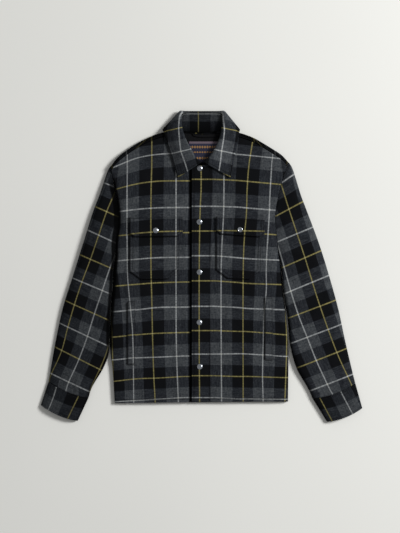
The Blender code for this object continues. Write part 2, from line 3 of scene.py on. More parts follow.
import bmesh
import bpy
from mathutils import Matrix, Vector


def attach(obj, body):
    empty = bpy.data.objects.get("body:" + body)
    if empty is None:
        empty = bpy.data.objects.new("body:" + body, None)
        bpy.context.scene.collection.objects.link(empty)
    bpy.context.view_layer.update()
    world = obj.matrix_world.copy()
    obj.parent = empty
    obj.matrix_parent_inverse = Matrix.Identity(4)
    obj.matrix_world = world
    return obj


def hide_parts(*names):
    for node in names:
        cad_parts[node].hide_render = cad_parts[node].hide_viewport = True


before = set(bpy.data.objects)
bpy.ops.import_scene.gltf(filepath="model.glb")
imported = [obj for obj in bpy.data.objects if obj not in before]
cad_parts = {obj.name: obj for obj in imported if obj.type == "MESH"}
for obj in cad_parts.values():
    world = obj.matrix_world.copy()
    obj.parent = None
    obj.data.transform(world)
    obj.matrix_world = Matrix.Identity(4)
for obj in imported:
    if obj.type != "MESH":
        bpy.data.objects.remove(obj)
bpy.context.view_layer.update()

mm = 0.001
planShift = Vector((0.5 * mm, -2.55 * mm, 0.0))  # from the plan's own zero to the frame's

# The shacket lies flat on its back on z = 0 with its collar towards +Y. Plan tables are in millimetres.
# Left and right are the wearer's, so right is at -X.


def smooth(value, low, high):
    t = min(max((value - low) / (high - low), 0.0), 1.0)
    return t * t * (3.0 - 2.0 * t)


def mix(a, b, t):
    return a + (b - a) * t


def bump(distance, width):
    return math.exp(-((distance / width) ** 2))


def through(points, place):  # smooth line through points, asked for by row
    last = len(points) - 2
    k = min(max(int(place), 0), last)
    u = place - k
    p1, p2 = points[k], points[k + 1]
    p0 = points[k - 1] if k > 0 else p1 * 2.0 - p2
    p3 = points[k + 2] if k < last else p2 * 2.0 - p1
    return 0.5 * (
        2.0 * p1
        + (p2 - p0) * u
        + (2.0 * p0 - 5.0 * p1 + 4.0 * p2 - p3) * u ** 2
        + (3.0 * p1 - p0 - 3.0 * p2 + p3) * u ** 3
    )


class Route:  # smooth line asked for by its length from 0 to 1
    def __init__(self, points):
        self.points = [Vector(p) * mm for p in points]
        self.reach = [0.0]
        for a, b in zip(self.points, self.points[1:]):
            self.reach.append(self.reach[-1] + (b - a).length)

    def at(self, t):
        wanted = min(max(t, 0.0), 1.0) * self.reach[-1]
        last = len(self.points) - 2
        k = 0
        while k < last and self.reach[k + 1] < wanted:
            k += 1
        return through(self.points, k + (wanted - self.reach[k]) / (self.reach[k + 1] - self.reach[k]))

    def samples(self, count):
        return [self.at(k / (count - 1)) for k in range(count)]


class ByAxis:  # route read by one of its coordinates, which grows along it
    def __init__(self, points, axis, count=240):
        self.axis = axis
        self.line = sorted(Route(points).samples(count), key=lambda p: p[axis])

    def at(self, place):
        line, axis = self.line, self.axis
        if place <= line[0][axis]:
            return line[0].copy()
        low, high = 0, len(line) - 1
        if place >= line[high][axis]:
            return line[high].copy()
        while high - low > 1:
            middle = (low + high) // 2
            if line[middle][axis] <= place:
                low = middle
            else:
                high = middle
        span = line[high][axis] - line[low][axis]
        return line[low].lerp(line[high], (place - line[low][axis]) / span)


def tableValue(rows, place, scale=mm):  # two-column table, eased between rows
    if place <= rows[0][0] * scale:
        return rows[0][1] * mm
    for (a, u), (b, v) in zip(rows, rows[1:]):
        if place <= b * scale:
            return mix(u, v, smooth(place, a * scale, b * scale)) * mm
    return rows[-1][1] * mm


# Sizes of the cloth and of how it lies. The tables are the solids', but for rightSide: it is fuller from
# the underarm down, since the photo shows a dark valley there and no floor
cloth = {
    "wall": 3.0 * mm,
    "pocketWall": 2.4 * mm,
    "cuffWall": 3.4 * mm,
    "liningWall": 1.2 * mm,
    "seamGap": 0.5 * mm,
    "capGap": 0.8 * mm,
    "layGap": 0.35 * mm,
    "liningGap": 0.6 * mm,
}
body = {
    "shoulderHeight": 16.0 * mm,
    "shoulderWrap": 8.0 * mm,
    "shoulderSeamDrop": 13.0 * mm,
    "shoulderSeamGap": 1.0 * mm,
    "sideSeamHeight": 6.5 * mm,
    "sideSeamGap": 0.5 * mm,
    "seamTurn": 1.0 * mm,
    "hemCurl": 0.74,
    "armholeHeight": 15.0 * mm,
    "underarmY": 23.0 * mm,
    "frontRoll": 26.0 * mm,
    "backRoll": 12.0 * mm,
    "lapEdgeX": -26.0 * mm,
    "underlapEdgeX": 4.0 * mm,
    "lapLift": 0.8 * mm,
    "underlapSink": 3.4 * mm,
    "hemY": -350.0 * mm,
    "frontHeights": (
        (-353, 12.5), (-250, 14.5), (-120, 17.0), (20, 19.5), (140, 20.5), (230, 19.0), (300, 18.0),
    ),
    "rightSide": (
        (-226, -353), (-231, -270), (-236, -230), (-239.5, -183), (-236, -113), (-231, -44), (-229, -10),
        (-225, 23), (-221, 72), (-215, 119), (-218, 165), (-226, 205), (-232, 236), (-236, 262),
    ),
    "leftSide": (
        (224, -349), (225, -228), (222, -174), (217, -114), (211, -67), (207, -15), (202, 23), (197, 58),
        (192, 97), (190, 133), (195, 169), (206, 216), (215, 245), (225, 272),
    ),
    "topLine": (
        (-236, 262), (-220, 283), (-194, 304), (-163, 324), (-128, 341), (-103, 349), (-88, 351), (-75, 352),
        (-62, 351), (-40, 348), (0, 346), (40, 348), (60, 351), (73, 352), (86, 351), (100, 348), (116, 343),
        (138, 334), (172, 314), (206, 292), (225, 272),
    ),
    "neckPointsX": (-75.0 * mm, 73.0 * mm),
    "rightNeckline": ((4, 263), (-14, 265), (-38, 276), (-60, 303), (-72, 326), (-75, 338)),
    "leftNeckline": ((-26, 262), (2, 264), (37, 277), (59, 303), (70, 326), (73, 338)),
}

rightSide = ByAxis(body["rightSide"], 1)
leftSide = ByAxis(body["leftSide"], 1)
topLine = ByAxis(body["topLine"], 0)

# Broad folds of the solids: centre x, y, half length, half width, direction in degrees, height
broadFolds = (
    (-90, 190, 110, 26, 80, 1.2),
    (110, 205, 100, 26, 100, 1.2),
    (-150, -60, 150, 24, 84, 1.3),
    (95, -60, 160, 26, 97, 1.4),
    (60, -230, 120, 22, 92, 1.3),
    (-110, -250, 120, 22, 88, 1.2),
)

# Finer creases that show, the same columns: ridges have a height above 0 and troughs one below
fineCreases = (
    (-205, 150, 70, 9, 76, 1.3),
    (-188, 178, 62, 8, 70, -1.1),
    (-150, 230, 46, 10, 118, 0.9),
    (-196, -30, 90, 10, 88, -1.5),
    (-176, -150, 110, 9, 93, 1.0),
    (-60, -60, 90, 12, 80, 0.9),
    (-48, -190, 100, 9, 94, -1.0),
    (-92, -130, 80, 10, 99, 1.0),
    (-132, -210, 60, 9, 84, -1.1),
    (-150, -320, 34, 12, 92, 1.4),
    (-80, -325, 30, 11, 86, -1.2),
    (64, 40, 60, 9, 118, 1.4),
    (78, 20, 52, 8, 116, -1.2),
    (120, -15, 60, 11, 108, 0.9),
    (180, 160, 60, 9, 104, -1.1),
    (168, 210, 60, 10, 66, 1.0),
    (55, -110, 100, 10, 86, -1.1),
    (74, -170, 90, 9, 98, 1.2),
    (132, -160, 110, 11, 86, 0.9),
    (198, -140, 100, 9, 93, -1.2),
    (178, -300, 50, 12, 90, 1.5),
    (118, -322, 34, 12, 96, -1.4),
    (40, -325, 30, 10, 88, 1.0),
    (-20, 60, 120, 7, 90, 0.5),
)
backCreases = (
    (-140, 120, 130, 20, 82, 1.5),
    (-60, -40, 180, 18, 94, 1.3),
    (70, 100, 150, 20, 98, 1.4),
    (120, -160, 150, 18, 86, 1.5),
    (-120, -220, 120, 16, 90, 1.2),
    (10, -250, 110, 15, 88, 1.3),
    (0, 230, 90, 24, 4, 1.2),
)


def creasesAt(table, x, y):
    total = 0.0
    for cx, cy, length, width, turn, height in table:
        dx, dy = x / mm - cx, y / mm - cy
        if abs(dx) > 2.2 * length or abs(dy) > 2.2 * length:
            continue
        c, s = math.cos(math.radians(turn)), math.sin(math.radians(turn))
        along, across = dx * c + dy * s, dy * c - dx * s
        across += 3.0 * math.sin(along / 31.0 + cx)  # no crease runs quite straight
        if abs(across) < 2.6 * width:
            total += height * mm * math.exp(-((along / length) ** 2) - (across / width) ** 2)
    return total


def roll(distance, reach):  # quarter of an ellipse, 0 at the edge and 1 from the reach inwards
    inside = min(max(distance / reach, 0.0), 1.0)
    return math.sqrt(max(0.0, 1.0 - (1.0 - inside) ** 2))


def armholeShare(y):  # 0 along the side seam, 1 along the armhole
    return smooth(y, body["underarmY"] - 6 * mm, body["underarmY"] + 44 * mm)


def sideEdge(x, y):
    return rightSide.at(y).x if x < 0 else leftSide.at(y).x


# The valley is a dip in the cloth and a band of painted shade: dark is the reach of the near-black paint and
# shade its strength
valley = {
    "depth": 4.5 * mm,
    "width": 8.0 * mm,
    "dark": (6.5 * mm, 11.5 * mm),
    "beside": 4.0 * mm,
    "shade": 1.75,
    "lowY": (-228 * mm, -200 * mm),
    "highY": (200 * mm, 256 * mm),
}


def fromValley(x, y):  # distance from the valley between the right sleeve and the body, and its share
    centre = rightSide.at(y).x - valley["beside"] * armholeShare(y)
    return abs(x - centre), smooth(y, *valley["lowY"]) * (1.0 - smooth(y, *valley["highY"]))


def valleyDip(x, y):
    if x > 0.0:
        return 0.0
    away, share = fromValley(x, y)
    return valley["depth"] * bump(away, valley["width"]) * share * armholeShare(y)


# Painted shade: near black on the cloth along the valley
def valleyShade(x, y):
    if x > 0.0:
        return 0.0
    away, share = fromValley(x, y)
    return valley["shade"] * (1.0 - smooth(away, *valley["dark"])) * share


def frontTop(x, y):
    top = tableValue(body["frontHeights"], y) * (1.0 - 0.10 * (x / (230 * mm)) ** 2)
    top += creasesAt(broadFolds, x, y)
    belowShoulder = topLine.at(x).y - y
    top = mix(body["shoulderHeight"], top, smooth(belowShoulder, body["shoulderSeamDrop"], 60 * mm))
    inwards = abs(sideEdge(x, y)) - abs(x)
    fine = creasesAt(fineCreases, x, y) * smooth(inwards, 3 * mm, 24 * mm)
    top += fine * smooth(belowShoulder, 16 * mm, 44 * mm)
    seam = mix(body["sideSeamHeight"] + body["seamTurn"], body["armholeHeight"], armholeShare(y))
    ease = math.sin(0.5 * math.pi * min(max(inwards / body["frontRoll"], 0.0), 1.0))
    rolled = seam + (top - seam) * mix(roll(inwards, body["frontRoll"]), ease, armholeShare(y))
    return rolled - valleyDip(x, y)


def rightFrontTop(x, y):
    return frontTop(x, y) - body["underlapSink"] * smooth(x, -42 * mm, -28 * mm)


def leftFrontTop(x, y):
    return frontTop(x, y) + body["lapLift"] * (1.0 - smooth(x, body["lapEdgeX"], 20 * mm))


def neckRaise(x, y):
    return 3.6 * mm * smooth(y, 282 * mm, 324 * mm) * (1.0 - smooth(abs(x), 104 * mm, 132 * mm))


def backUnder(x, y):
    inwards = abs(sideEdge(x, y)) - abs(x)
    curl = (body["sideSeamHeight"] - body["sideSeamGap"] - body["seamTurn"]) * (1.0 - armholeShare(y))
    curl *= mix(body["hemCurl"], 1.0, smooth(y, -352 * mm, -296 * mm))
    arch = max(0.0, creasesAt(backCreases, x, y)) * smooth(inwards, 12 * mm, 50 * mm)
    arch *= smooth(y, -350 * mm, -322 * mm) * (1.0 - smooth(y, 200 * mm, 236 * mm))
    return curl * (1.0 - roll(inwards, body["backRoll"])) + neckRaise(x, y) + arch


# The check. Its lines are given in the frame's plan: even numbers are gold yarn and odd ones white
plaid = {
    "repeat": 60.0 * mm,
    "shift": planShift,
    "warp": {
        -4: ((-229, -184), (-225, -270), (-220, -356)),
        -3: ((-193, 276), (-193, 11), (-189, -62), (-183, -122), (-178, -192), (-176, -356)),
        -2: ((-129, 263), (-131, 172), (-131, 3), (-129, -88), (-127, -192), (-124, -283), (-120, -356)),
        -1: ((-66, 198), (-66, -88), (-65, -218), (-60, -356)),
        0: ((-1, 198), (-4, 133), (-6, 3), (-6, -218), (-5, -356)),
        1: ((58, 198), (57, 133), (51, 3), (51, -218), (52, -356)),
        2: ((134, 331), (123, 263), (118, 198), (116, 133), (108, 3), (108, -356)),
        3: (
            (187, 302), (182, 263), (177, 185), (175, 133), (168, 3), (168, -62), (162, -122), (160, -192),
            (158, -283), (160, -356),
        ),
        4: ((214, -104), (222, -176), (220, -270), (214, -356)),
    },
    "weftRightX": (-228, -168, -113, -48),
    "weftLeftX": (35, 92, 126, 214),
    "weft": {
        2: (332, 336, 340, 341, 341, 341, 338, 330),
        1: (256, 280, 290, 293, 292, 290, 287, 278),
        0: (198, 213, 220, 221, 225, 222, 219, 211),
        -1: (140, 147, 151, 152, 155, 153, 150, 143),
        -2: (78, 83, 86.5, 87, 91, 88, 86, 80),
        -3: (13, 18, 22, 23, 27, 22, 19, 15),
        -4: (-52, -47, -43, -41, -38, -42, -45, -48),
        -5: (-118, -113, -107, -106, -104, -107, -110, -113),
        -6: (-184, -178, -174, -172, -167, -169, -170, -178),
        -7: (-243, -238, -236, -233, -228, -227, -228, -234),
        -8: (-299, -292, -290, -286, -284, -286, -286, -289),
        -9: (-352, -348, -345, -341, -341, -344, -344, -345),
    },
}
warpLines = [(number, ByAxis(points, 1, 90)) for number, points in sorted(plaid["warp"].items())]
wefts = sorted(plaid["weft"].items())
rightWeft = [(number, ByAxis(list(zip(plaid["weftRightX"], ys[:4])), 0, 40)) for number, ys in wefts]
leftWeft = [(number, ByAxis(list(zip(plaid["weftLeftX"], ys[4:])), 0, 40)) for number, ys in wefts]


def numberBetween(places, value):  # where a value lies among numbered places that grow
    if value <= places[0][1]:
        return places[0][0] + (value - places[0][1]) / plaid["repeat"]
    for (n, low), (_, high) in zip(places, places[1:]):
        if value <= high:
            return n + (value - low) / (high - low)
    return places[-1][0] + (value - places[-1][1]) / plaid["repeat"]


def frontPlaid(x, y, weft):
    x, y = x + plaid["shift"].x, y + plaid["shift"].y
    u = numberBetween([(n, line.at(y).x) for n, line in warpLines], x)
    v = numberBetween([(n, line.at(x).y) for n, line in weft], y)
    return u, v


def backPlaid(x, y):
    share = smooth(x, -48 * mm, 35 * mm)
    u, v = frontPlaid(x, y, rightWeft if share < 1.0 else leftWeft)
    if 0.0 < share < 1.0:
        v = mix(v, frontPlaid(x, y, leftWeft)[1], share)
    return u, v


def newMaterial(name):  # a material, and a function that adds nodes to it
    material = bpy.data.materials.new(name)
    material.use_nodes = True
    tree = material.node_tree
    tree.nodes.clear()

    def add(kind, inputs=(), **settings):
        node = tree.nodes.new(kind)
        for key, value in settings.items():
            setattr(node, key, value)
        for key, value in dict(inputs).items():
            socket = node.inputs[key]
            if isinstance(value, bpy.types.NodeSocket):
                tree.links.new(value, socket)
            else:
                socket.default_value = value
        return node

    return material, add


def surface(add, colour, roughness, more, height=None, strength=0.0, distance=0.0):
    inputs = {"Base Color": colour, "Roughness": roughness, **more}
    if height is not None:
        given = {"Height": height, "Strength": strength, "Distance": distance}
        inputs["Normal"] = add("ShaderNodeBump", given).outputs[0]
    shader = add("ShaderNodeBsdfPrincipled", inputs)
    add("ShaderNodeOutputMaterial", {0: shader.outputs[0]})


def maths(add, operation, a, b=0.0, c=0.0, clamp=False):
    return add("ShaderNodeMath", {0: a, 1: b, 2: c}, operation=operation, use_clamp=clamp).outputs[0]


def ramp(add, value, low, high, start=0.0, end=1.0):  # eased change from start to end
    inputs = {"Value": value, "From Min": low, "From Max": high, "To Min": start, "To Max": end}
    return add("ShaderNodeMapRange", inputs, interpolation_type="SMOOTHSTEP").outputs[0]


def blend(add, share, a, b, way="MIX"):
    node = add("ShaderNodeMix", data_type="RGBA", blend_type=way)
    tree = node.id_data
    for socket, value in ((node.inputs[0], share), (node.inputs[6], a), (node.inputs[7], b)):
        if isinstance(value, bpy.types.NodeSocket):
            tree.links.new(value, socket)
        else:
            socket.default_value = value
    return node.outputs[2]


wool = {
    "dark": (0.0042, 0.0046, 0.0054, 1.0),
    "middle": (0.0148, 0.0170, 0.0214, 1.0),
    "light": (0.0455, 0.0502, 0.0552, 1.0),
    "brightest": (0.0840, 0.0900, 0.0940, 1.0),
    "white": (0.2750, 0.2860, 0.2890, 1.0),
    "gold": (0.2150, 0.1890, 0.0720, 1.0),
    "crossing": (0.1500, 0.1420, 0.0950, 1.0),
    "whiteHalf": 0.026,
    "goldHalf": 0.024,
    "lineEdge": 0.007,
    "lineCover": 0.78,
    "lineUneven": 0.40,
    "edgeSoft": 0.010,
    "threads": 78.0,
    "twill": 0.34,
    "yarnUneven": 0.34,
    "fleck": 0.28,
    "speck": 0.07,
    "paintedShadeStrength": 0.55,
    "roughness": 0.93,
    "specular": 0.03,
    "sheen": 0.015,
}


def woolMaterial():
    material, add = newMaterial("woolPlaid")
    uv = add("ShaderNodeUVMap", uv_map="plaid").outputs[0]
    place = add("ShaderNodeTexCoord").outputs["Object"]
    wander = add("ShaderNodeTexNoise", {"Vector": place, "Scale": 260.0, "Detail": 2.0}).outputs["Color"]
    shifted = add("ShaderNodeVectorMath", {0: wander, 1: (0.5, 0.5, 0.5)}, operation="SUBTRACT").outputs[0]
    shifted = add("ShaderNodeVectorMath", {0: shifted, "Scale": 0.016}, operation="SCALE").outputs[0]
    loose = add("ShaderNodeVectorMath", {0: uv, 1: shifted}, operation="ADD").outputs[0]
    split = add("ShaderNodeSeparateXYZ", {0: loose})
    exact = add("ShaderNodeSeparateXYZ", {0: uv})

    def bands(value):  # 0 at gold lines, 1 at white lines
        wave = maths(add, "PINGPONG", value, 1.0)
        soft, edge = wool["edgeSoft"], wool["lineEdge"]
        lightShare = ramp(add, wave, 0.5 - soft, 0.5 + soft)
        goldLine = ramp(add, wave, wool["goldHalf"] + edge, wool["goldHalf"] - edge)
        whiteLine = ramp(add, wave, 1.0 - wool["whiteHalf"] - edge, 1.0 - wool["whiteHalf"] + edge)
        return lightShare, goldLine, whiteLine

    def uneven(across, along, acrossScale, alongScale, reach):  # a yarn keeps its tone for a stretch
        a = maths(add, "MULTIPLY", across, acrossScale)
        b = maths(add, "MULTIPLY", along, alongScale)
        at = add("ShaderNodeCombineXYZ", {0: a, 1: b, 2: acrossScale}).outputs[0]
        value = add("ShaderNodeTexNoise", {"Vector": at, "Scale": 1.0, "Detail": 2.0}).outputs["Fac"]
        return ramp(add, value, 0.25, 0.75, 1.0 - reach, 1.0 + reach)

    u, v = exact.outputs[0], exact.outputs[1]
    warpLight, warpGold, warpWhite = bands(split.outputs[0])
    weftLight, weftGold, weftWhite = bands(split.outputs[1])
    warpLight = maths(add, "MULTIPLY", warpLight, uneven(u, v, 31.0, 2.2, wool["yarnUneven"]))
    weftLight = maths(add, "MULTIPLY", weftLight, uneven(v, u, 29.0, 2.2, wool["yarnUneven"]))

    # Twill: two threads over, two under, stepping to the side at each pick
    warpThread = maths(add, "MULTIPLY", u, wool["threads"])
    weftThread = maths(add, "MULTIPLY", v, wool["threads"])
    step = maths(add, "ADD", warpThread, weftThread)
    wale = maths(add, "SINE", maths(add, "MULTIPLY", step, math.pi * 0.5))
    warpUp = ramp(add, wale, -0.5, 0.5)

    even = maths(add, "MULTIPLY", maths(add, "ADD", warpLight, weftLight), 0.5)
    lean = maths(add, "MULTIPLY", maths(add, "SUBTRACT", warpLight, weftLight), wool["twill"])
    tone = maths(add, "ADD", even, maths(add, "MULTIPLY", lean, maths(add, "SUBTRACT", warpUp, 0.5)))
    fibre = add("ShaderNodeTexNoise", {"Vector": place, "Scale": 620.0, "Detail": 3.0, "Roughness": 0.7})
    clump = add("ShaderNodeTexNoise", {"Vector": place, "Scale": 230.0, "Detail": 3.0, "Roughness": 0.75})
    mottle = ramp(add, clump.outputs["Fac"], 0.3, 0.7, 1.0 - wool["fleck"], 1.0 + wool["fleck"])
    speck = ramp(add, fibre.outputs["Fac"], 0.45, 0.75, 0.0, wool["speck"])
    tone = maths(add, "ADD", maths(add, "MULTIPLY", tone, mottle), speck)
    ground = add("ShaderNodeValToRGB", {0: maths(add, "MULTIPLY", tone, 0.6, clamp=True)})
    stops = ground.color_ramp.elements
    stops[0].color, stops[1].color = wool["dark"], wool["brightest"]
    for at, yarn in ((0.3, "middle"), (0.6, "light")):
        stops.new(at).color = wool[yarn]
    colour = ground.outputs[0]
    warpRuns = uneven(u, v, 3.0, 17.0, wool["lineUneven"])
    weftRuns = uneven(v, u, 3.3, 17.0, wool["lineUneven"])
    for share, yarn, runs in (
        (warpGold, "gold", warpRuns), (weftGold, "gold", weftRuns),
        (warpWhite, "white", warpRuns), (weftWhite, "white", weftRuns),
    ):
        cover = maths(add, "MULTIPLY", maths(add, "MULTIPLY", share, wool["lineCover"]), runs, clamp=True)
        colour = blend(add, cover, colour, wool[yarn])
    warpLine = maths(add, "MAXIMUM", warpGold, warpWhite)
    weftLine = maths(add, "MAXIMUM", weftGold, weftWhite)
    colour = blend(add, maths(add, "MULTIPLY", warpLine, weftLine), colour, wool["crossing"], "ADD")
    # Painted shade from the seam attribute: stitch grooves, valleys, folds and sides turned from the light
    # are darkened here, and values below 0 are painted light. The cloud after it is a random tone
    seam = add("ShaderNodeAttribute", attribute_name="seam").outputs["Fac"]
    shade = maths(add, "SUBTRACT", 1.0, maths(add, "MULTIPLY", seam, wool["paintedShadeStrength"]))
    shade = maths(add, "MAXIMUM", shade, 0.0)
    cloud = add("ShaderNodeTexNoise", {"Vector": place, "Scale": 34.0, "Detail": 2.0}).outputs["Fac"]
    shade = maths(add, "MULTIPLY", shade, ramp(add, cloud, 0.3, 0.7, 0.92, 1.08))
    shadeColour = add("ShaderNodeCombineColor", {0: shade, 1: shade, 2: shade}).outputs[0]
    colour = blend(add, 1.0, colour, shadeColour, "MULTIPLY")

    # Thread roundness, twill wales and nap, as height
    warpRound = maths(add, "ABSOLUTE", maths(add, "SINE", maths(add, "MULTIPLY", warpThread, math.pi)))
    weftRound = maths(add, "ABSOLUTE", maths(add, "SINE", maths(add, "MULTIPLY", weftThread, math.pi)))
    yarnRound = add("ShaderNodeMix", {0: warpUp, 2: weftRound, 3: warpRound}).outputs[0]
    height = maths(add, "ADD", maths(add, "MULTIPLY", yarnRound, 0.5), maths(add, "MULTIPLY", wale, 0.3))
    height = maths(add, "ADD", height, maths(add, "MULTIPLY", fibre.outputs["Fac"], 1.6))
    low, high = wool["roughness"] - 0.05, wool["roughness"] + 0.05
    roughness = ramp(add, fibre.outputs["Fac"], 0.2, 0.8, low, high)
    more = {
        "Specular IOR Level": wool["specular"], "Sheen Weight": wool["sheen"],
        "Sheen Roughness": 0.6, "Sheen Tint": (0.75, 0.78, 0.85, 1.0),
    }
    surface(add, colour, roughness, more, height, 0.55, 0.0004)
    return material


woolPlaid = woolMaterial()
shacket = bpy.data.collections.new("shacketLooks")
bpy.context.scene.collection.children.link(shacket)


def placeMesh(name, mesh):
    made = bpy.data.objects.new(name, mesh)
    shacket.objects.link(made)
    return made


def uvMesh(name, verts, faces, uvs, material):
    mesh = bpy.data.meshes.new(name)
    mesh.from_pydata(verts, [], faces)
    layer = mesh.uv_layers.new(name="plaid")
    for loop, uv in zip(layer.data, uvs):
        loop.uv = uv
    mesh.materials.append(material)
    mesh.shade_smooth()
    return mesh


def clothSheet(name, grid, uvGrid, wall, material, offset=-1.0, ring=False, paintedShadeGrid=None):
    # A wall of cloth from rows of points. A ring's rows close on themselves, and its uv rows
    # have one value more
    rows, columns = len(grid), len(grid[0])
    verts = [tuple(p + planShift) for row in grid for p in row]
    faces, uvs = [], []
    for j in range(rows - 1):
        for k in range(columns if ring else columns - 1):
            after = (k + 1) % columns
            near, far = j * columns, (j + 1) * columns
            faces.append((near + k, near + after, far + after, far + k))
            uvs += [uvGrid[j][k], uvGrid[j][k + 1], uvGrid[j + 1][k + 1], uvGrid[j + 1][k]]
    mesh = uvMesh(name, verts, faces, uvs, material)
    # The seam attribute holds painted shade, and painted light where it is below 0, for the wool material
    seam = mesh.attributes.new("seam", "FLOAT", "POINT")
    if paintedShadeGrid:
        seam.data.foreach_set("value", [value for row in paintedShadeGrid for value in row])
    made = placeMesh(name, mesh)
    solid = made.modifiers.new("wall", "SOLIDIFY")
    solid.thickness = wall
    solid.offset = offset
    solid.use_even_offset = False
    return made


def spread(width, step, atStart=(), atEnd=(), count=0):  # shares of a width, fine near its ends
    start = [d * mm / width for d in atStart] or [0.0]
    end = [1.0 - d * mm / width for d in reversed(atEnd)] or [1.0]
    count = count or max(2, round((end[0] - start[-1]) * width / step))
    return start + [mix(start[-1], end[0], k / count) for k in range(1, count)] + end


print("stage: fronts")

front = {
    "step": 3.6 * mm,
    "columns": 54,
    "sideColumns": (0, 0.6, 1.2, 2.2, 3.4, 5, 7, 9, 11.5, 14, 17, 20, 23, 27),
    "lapColumns": (0, 1.4, 2.8, 4.4, 5.4, 6.4, 7.8, 10, 13, 16.5, 20),
    "underColumns": (0, 2.5, 5.5, 9, 12.5, 16, 19, 22, 25, 28, 31, 33, 35, 37, 39, 41, 43, 46),
    "hemRows": (0, 1.5, 3, 5, 7, 8, 9, 11, 14, 17.5),
    "hemStitch": 8.0 * mm,
    "lapStitch": 5.4 * mm,
    "placketStitch": 47.0 * mm,
    "grooveDepth": 0.5 * mm,
    "grooveWidth": 1.5 * mm,
    "underShade": 1.6,
}


def lapShade(x, y):  # painted shade: the right front is painted dark where it dives under the left one
    return front["underShade"] * smooth(x, body["lapEdgeX"] - 9 * mm, body["lapEdgeX"] - 5.5 * mm)


def frontPanel(name, side, neckline, centreX, height, atEdge, weft, stitchRows):
    neck = ByAxis(neckline, 1)
    hemOuter, hemInner = side.at(-1.0), Vector((centreX, body["hemY"]))
    neckTop = neck.at(1.0)
    shoulderY = topLine.at(side.at(1.0).x).y - body["shoulderSeamDrop"]
    grid, uvGrid, paintedShadeGrid = [], [], []
    lengthUp = shoulderY - hemOuter.y
    for t in spread(lengthUp, front["step"], front["hemRows"], (0, 2, 4.5, 7.5)):
        outer = side.at(mix(hemOuter.y, shoulderY, t))
        yInner = mix(hemInner.y, neckTop.y, t)
        inner = neck.at(yInner) if yInner > neck.at(-1.0).y else Vector((centreX, yInner))
        inwards = 1.0 if inner.x > outer.x else -1.0
        turn = 1.0 - armholeShare(outer.y)
        first = [0.0] + [mix(d, max(d - 1.0, 0.3 * d), turn) for d in front["sideColumns"][1:]]
        line, uvLine, paintedShadeLine = [], [], []
        width = abs(inner.x - outer.x)
        for k, s in enumerate(spread(width, 0.0, first, atEdge, front["columns"])):
            x = mix(outer.x, inner.x, s)
            y = mix(outer.y, inner.y, s)
            seam = topLine.at(x).y - body["shoulderSeamDrop"]
            straight = mix(shoulderY, neckTop.y, s)
            y += (seam - straight) * smooth(t, 0.72, 1.0) * (1.0 if 0.0 < s < 1.0 else 0.0)
            z = height(x, y) - (body["seamTurn"] * turn if k == 0 else 0.0)
            groove = bump(t * lengthUp - front["hemStitch"], front["grooveWidth"])
            for row in stitchRows:
                if yInner < neck.at(-1.0).y + 4 * mm:
                    groove = max(groove, bump(abs(x - centreX) - row, front["grooveWidth"]))
            z -= groove * front["grooveDepth"]
            line.append(Vector((x, y, z)))
            uvLine.append(frontPlaid(x, y, weft))
            # Painted shade: the stitch grooves, the valley beside the right sleeve and the strip that dives
            # under the lap are darkened
            lapPaintedShade = lapShade(x, y) if name == "frontRight" else 0.0
            paintedShadeLine.append(max(groove, valleyShade(x, y), lapPaintedShade))
        reach = [k for k, p in enumerate(line) if abs(p.x - outer.x) >= body["frontRoll"]][0]
        for k in range(reach - 1, -1, -1):  # the check follows the cloth round the side
            a, b = line[k], line[k + 1]
            step = math.hypot(a.x - b.x, a.z - b.z) / plaid["repeat"]
            uvLine[k] = (uvLine[k + 1][0] - inwards * step, uvLine[k][1])
        if inwards < 0:
            line, uvLine, paintedShadeLine = line[::-1], uvLine[::-1], paintedShadeLine[::-1]
        grid.append(line)
        uvGrid.append(uvLine)
        paintedShadeGrid.append(paintedShadeLine)
    return clothSheet(name, grid, uvGrid, cloth["wall"], woolPlaid, paintedShadeGrid=paintedShadeGrid)


frontRight = frontPanel(
    "frontRight", rightSide, body["rightNeckline"], body["underlapEdgeX"], rightFrontTop,
    front["underColumns"], rightWeft, (),
)
frontLeft = frontPanel(
    "frontLeft", leftSide, body["leftNeckline"], body["lapEdgeX"], leftFrontTop,
    front["lapColumns"], leftWeft, (front["lapStitch"], front["placketStitch"]),
)

print("stage: back")

back = {
    "step": 4.6 * mm,
    "flatEnd": 22 * mm,
    "edgeColumns": (0.8, 2, 3.5, 6, 9, 12, 16, 20, 25),
    "wrapRows": 22,
    # neckShade and stripShade are painted shade
    "neckShade": 1.6,
    "stripShade": 1.5,
    "shoulderStitch": 8.7 * mm,
    "seamStitch": 3.5 * mm,
    "edgeWidth": 26.0 * mm,
    "nudge": 0.4 * mm,
    "hemRows": (0, 1.5, 3, 5, 7, 8, 9, 11, 14, 18),
}


def neckPaintedShade(x, y):  # painted shade: the bare strip of the back inside the neck is painted near black
    return back["neckShade"] * smooth(y, 236 * mm, 262 * mm) * (1.0 - smooth(abs(x), 64 * mm, 76 * mm))


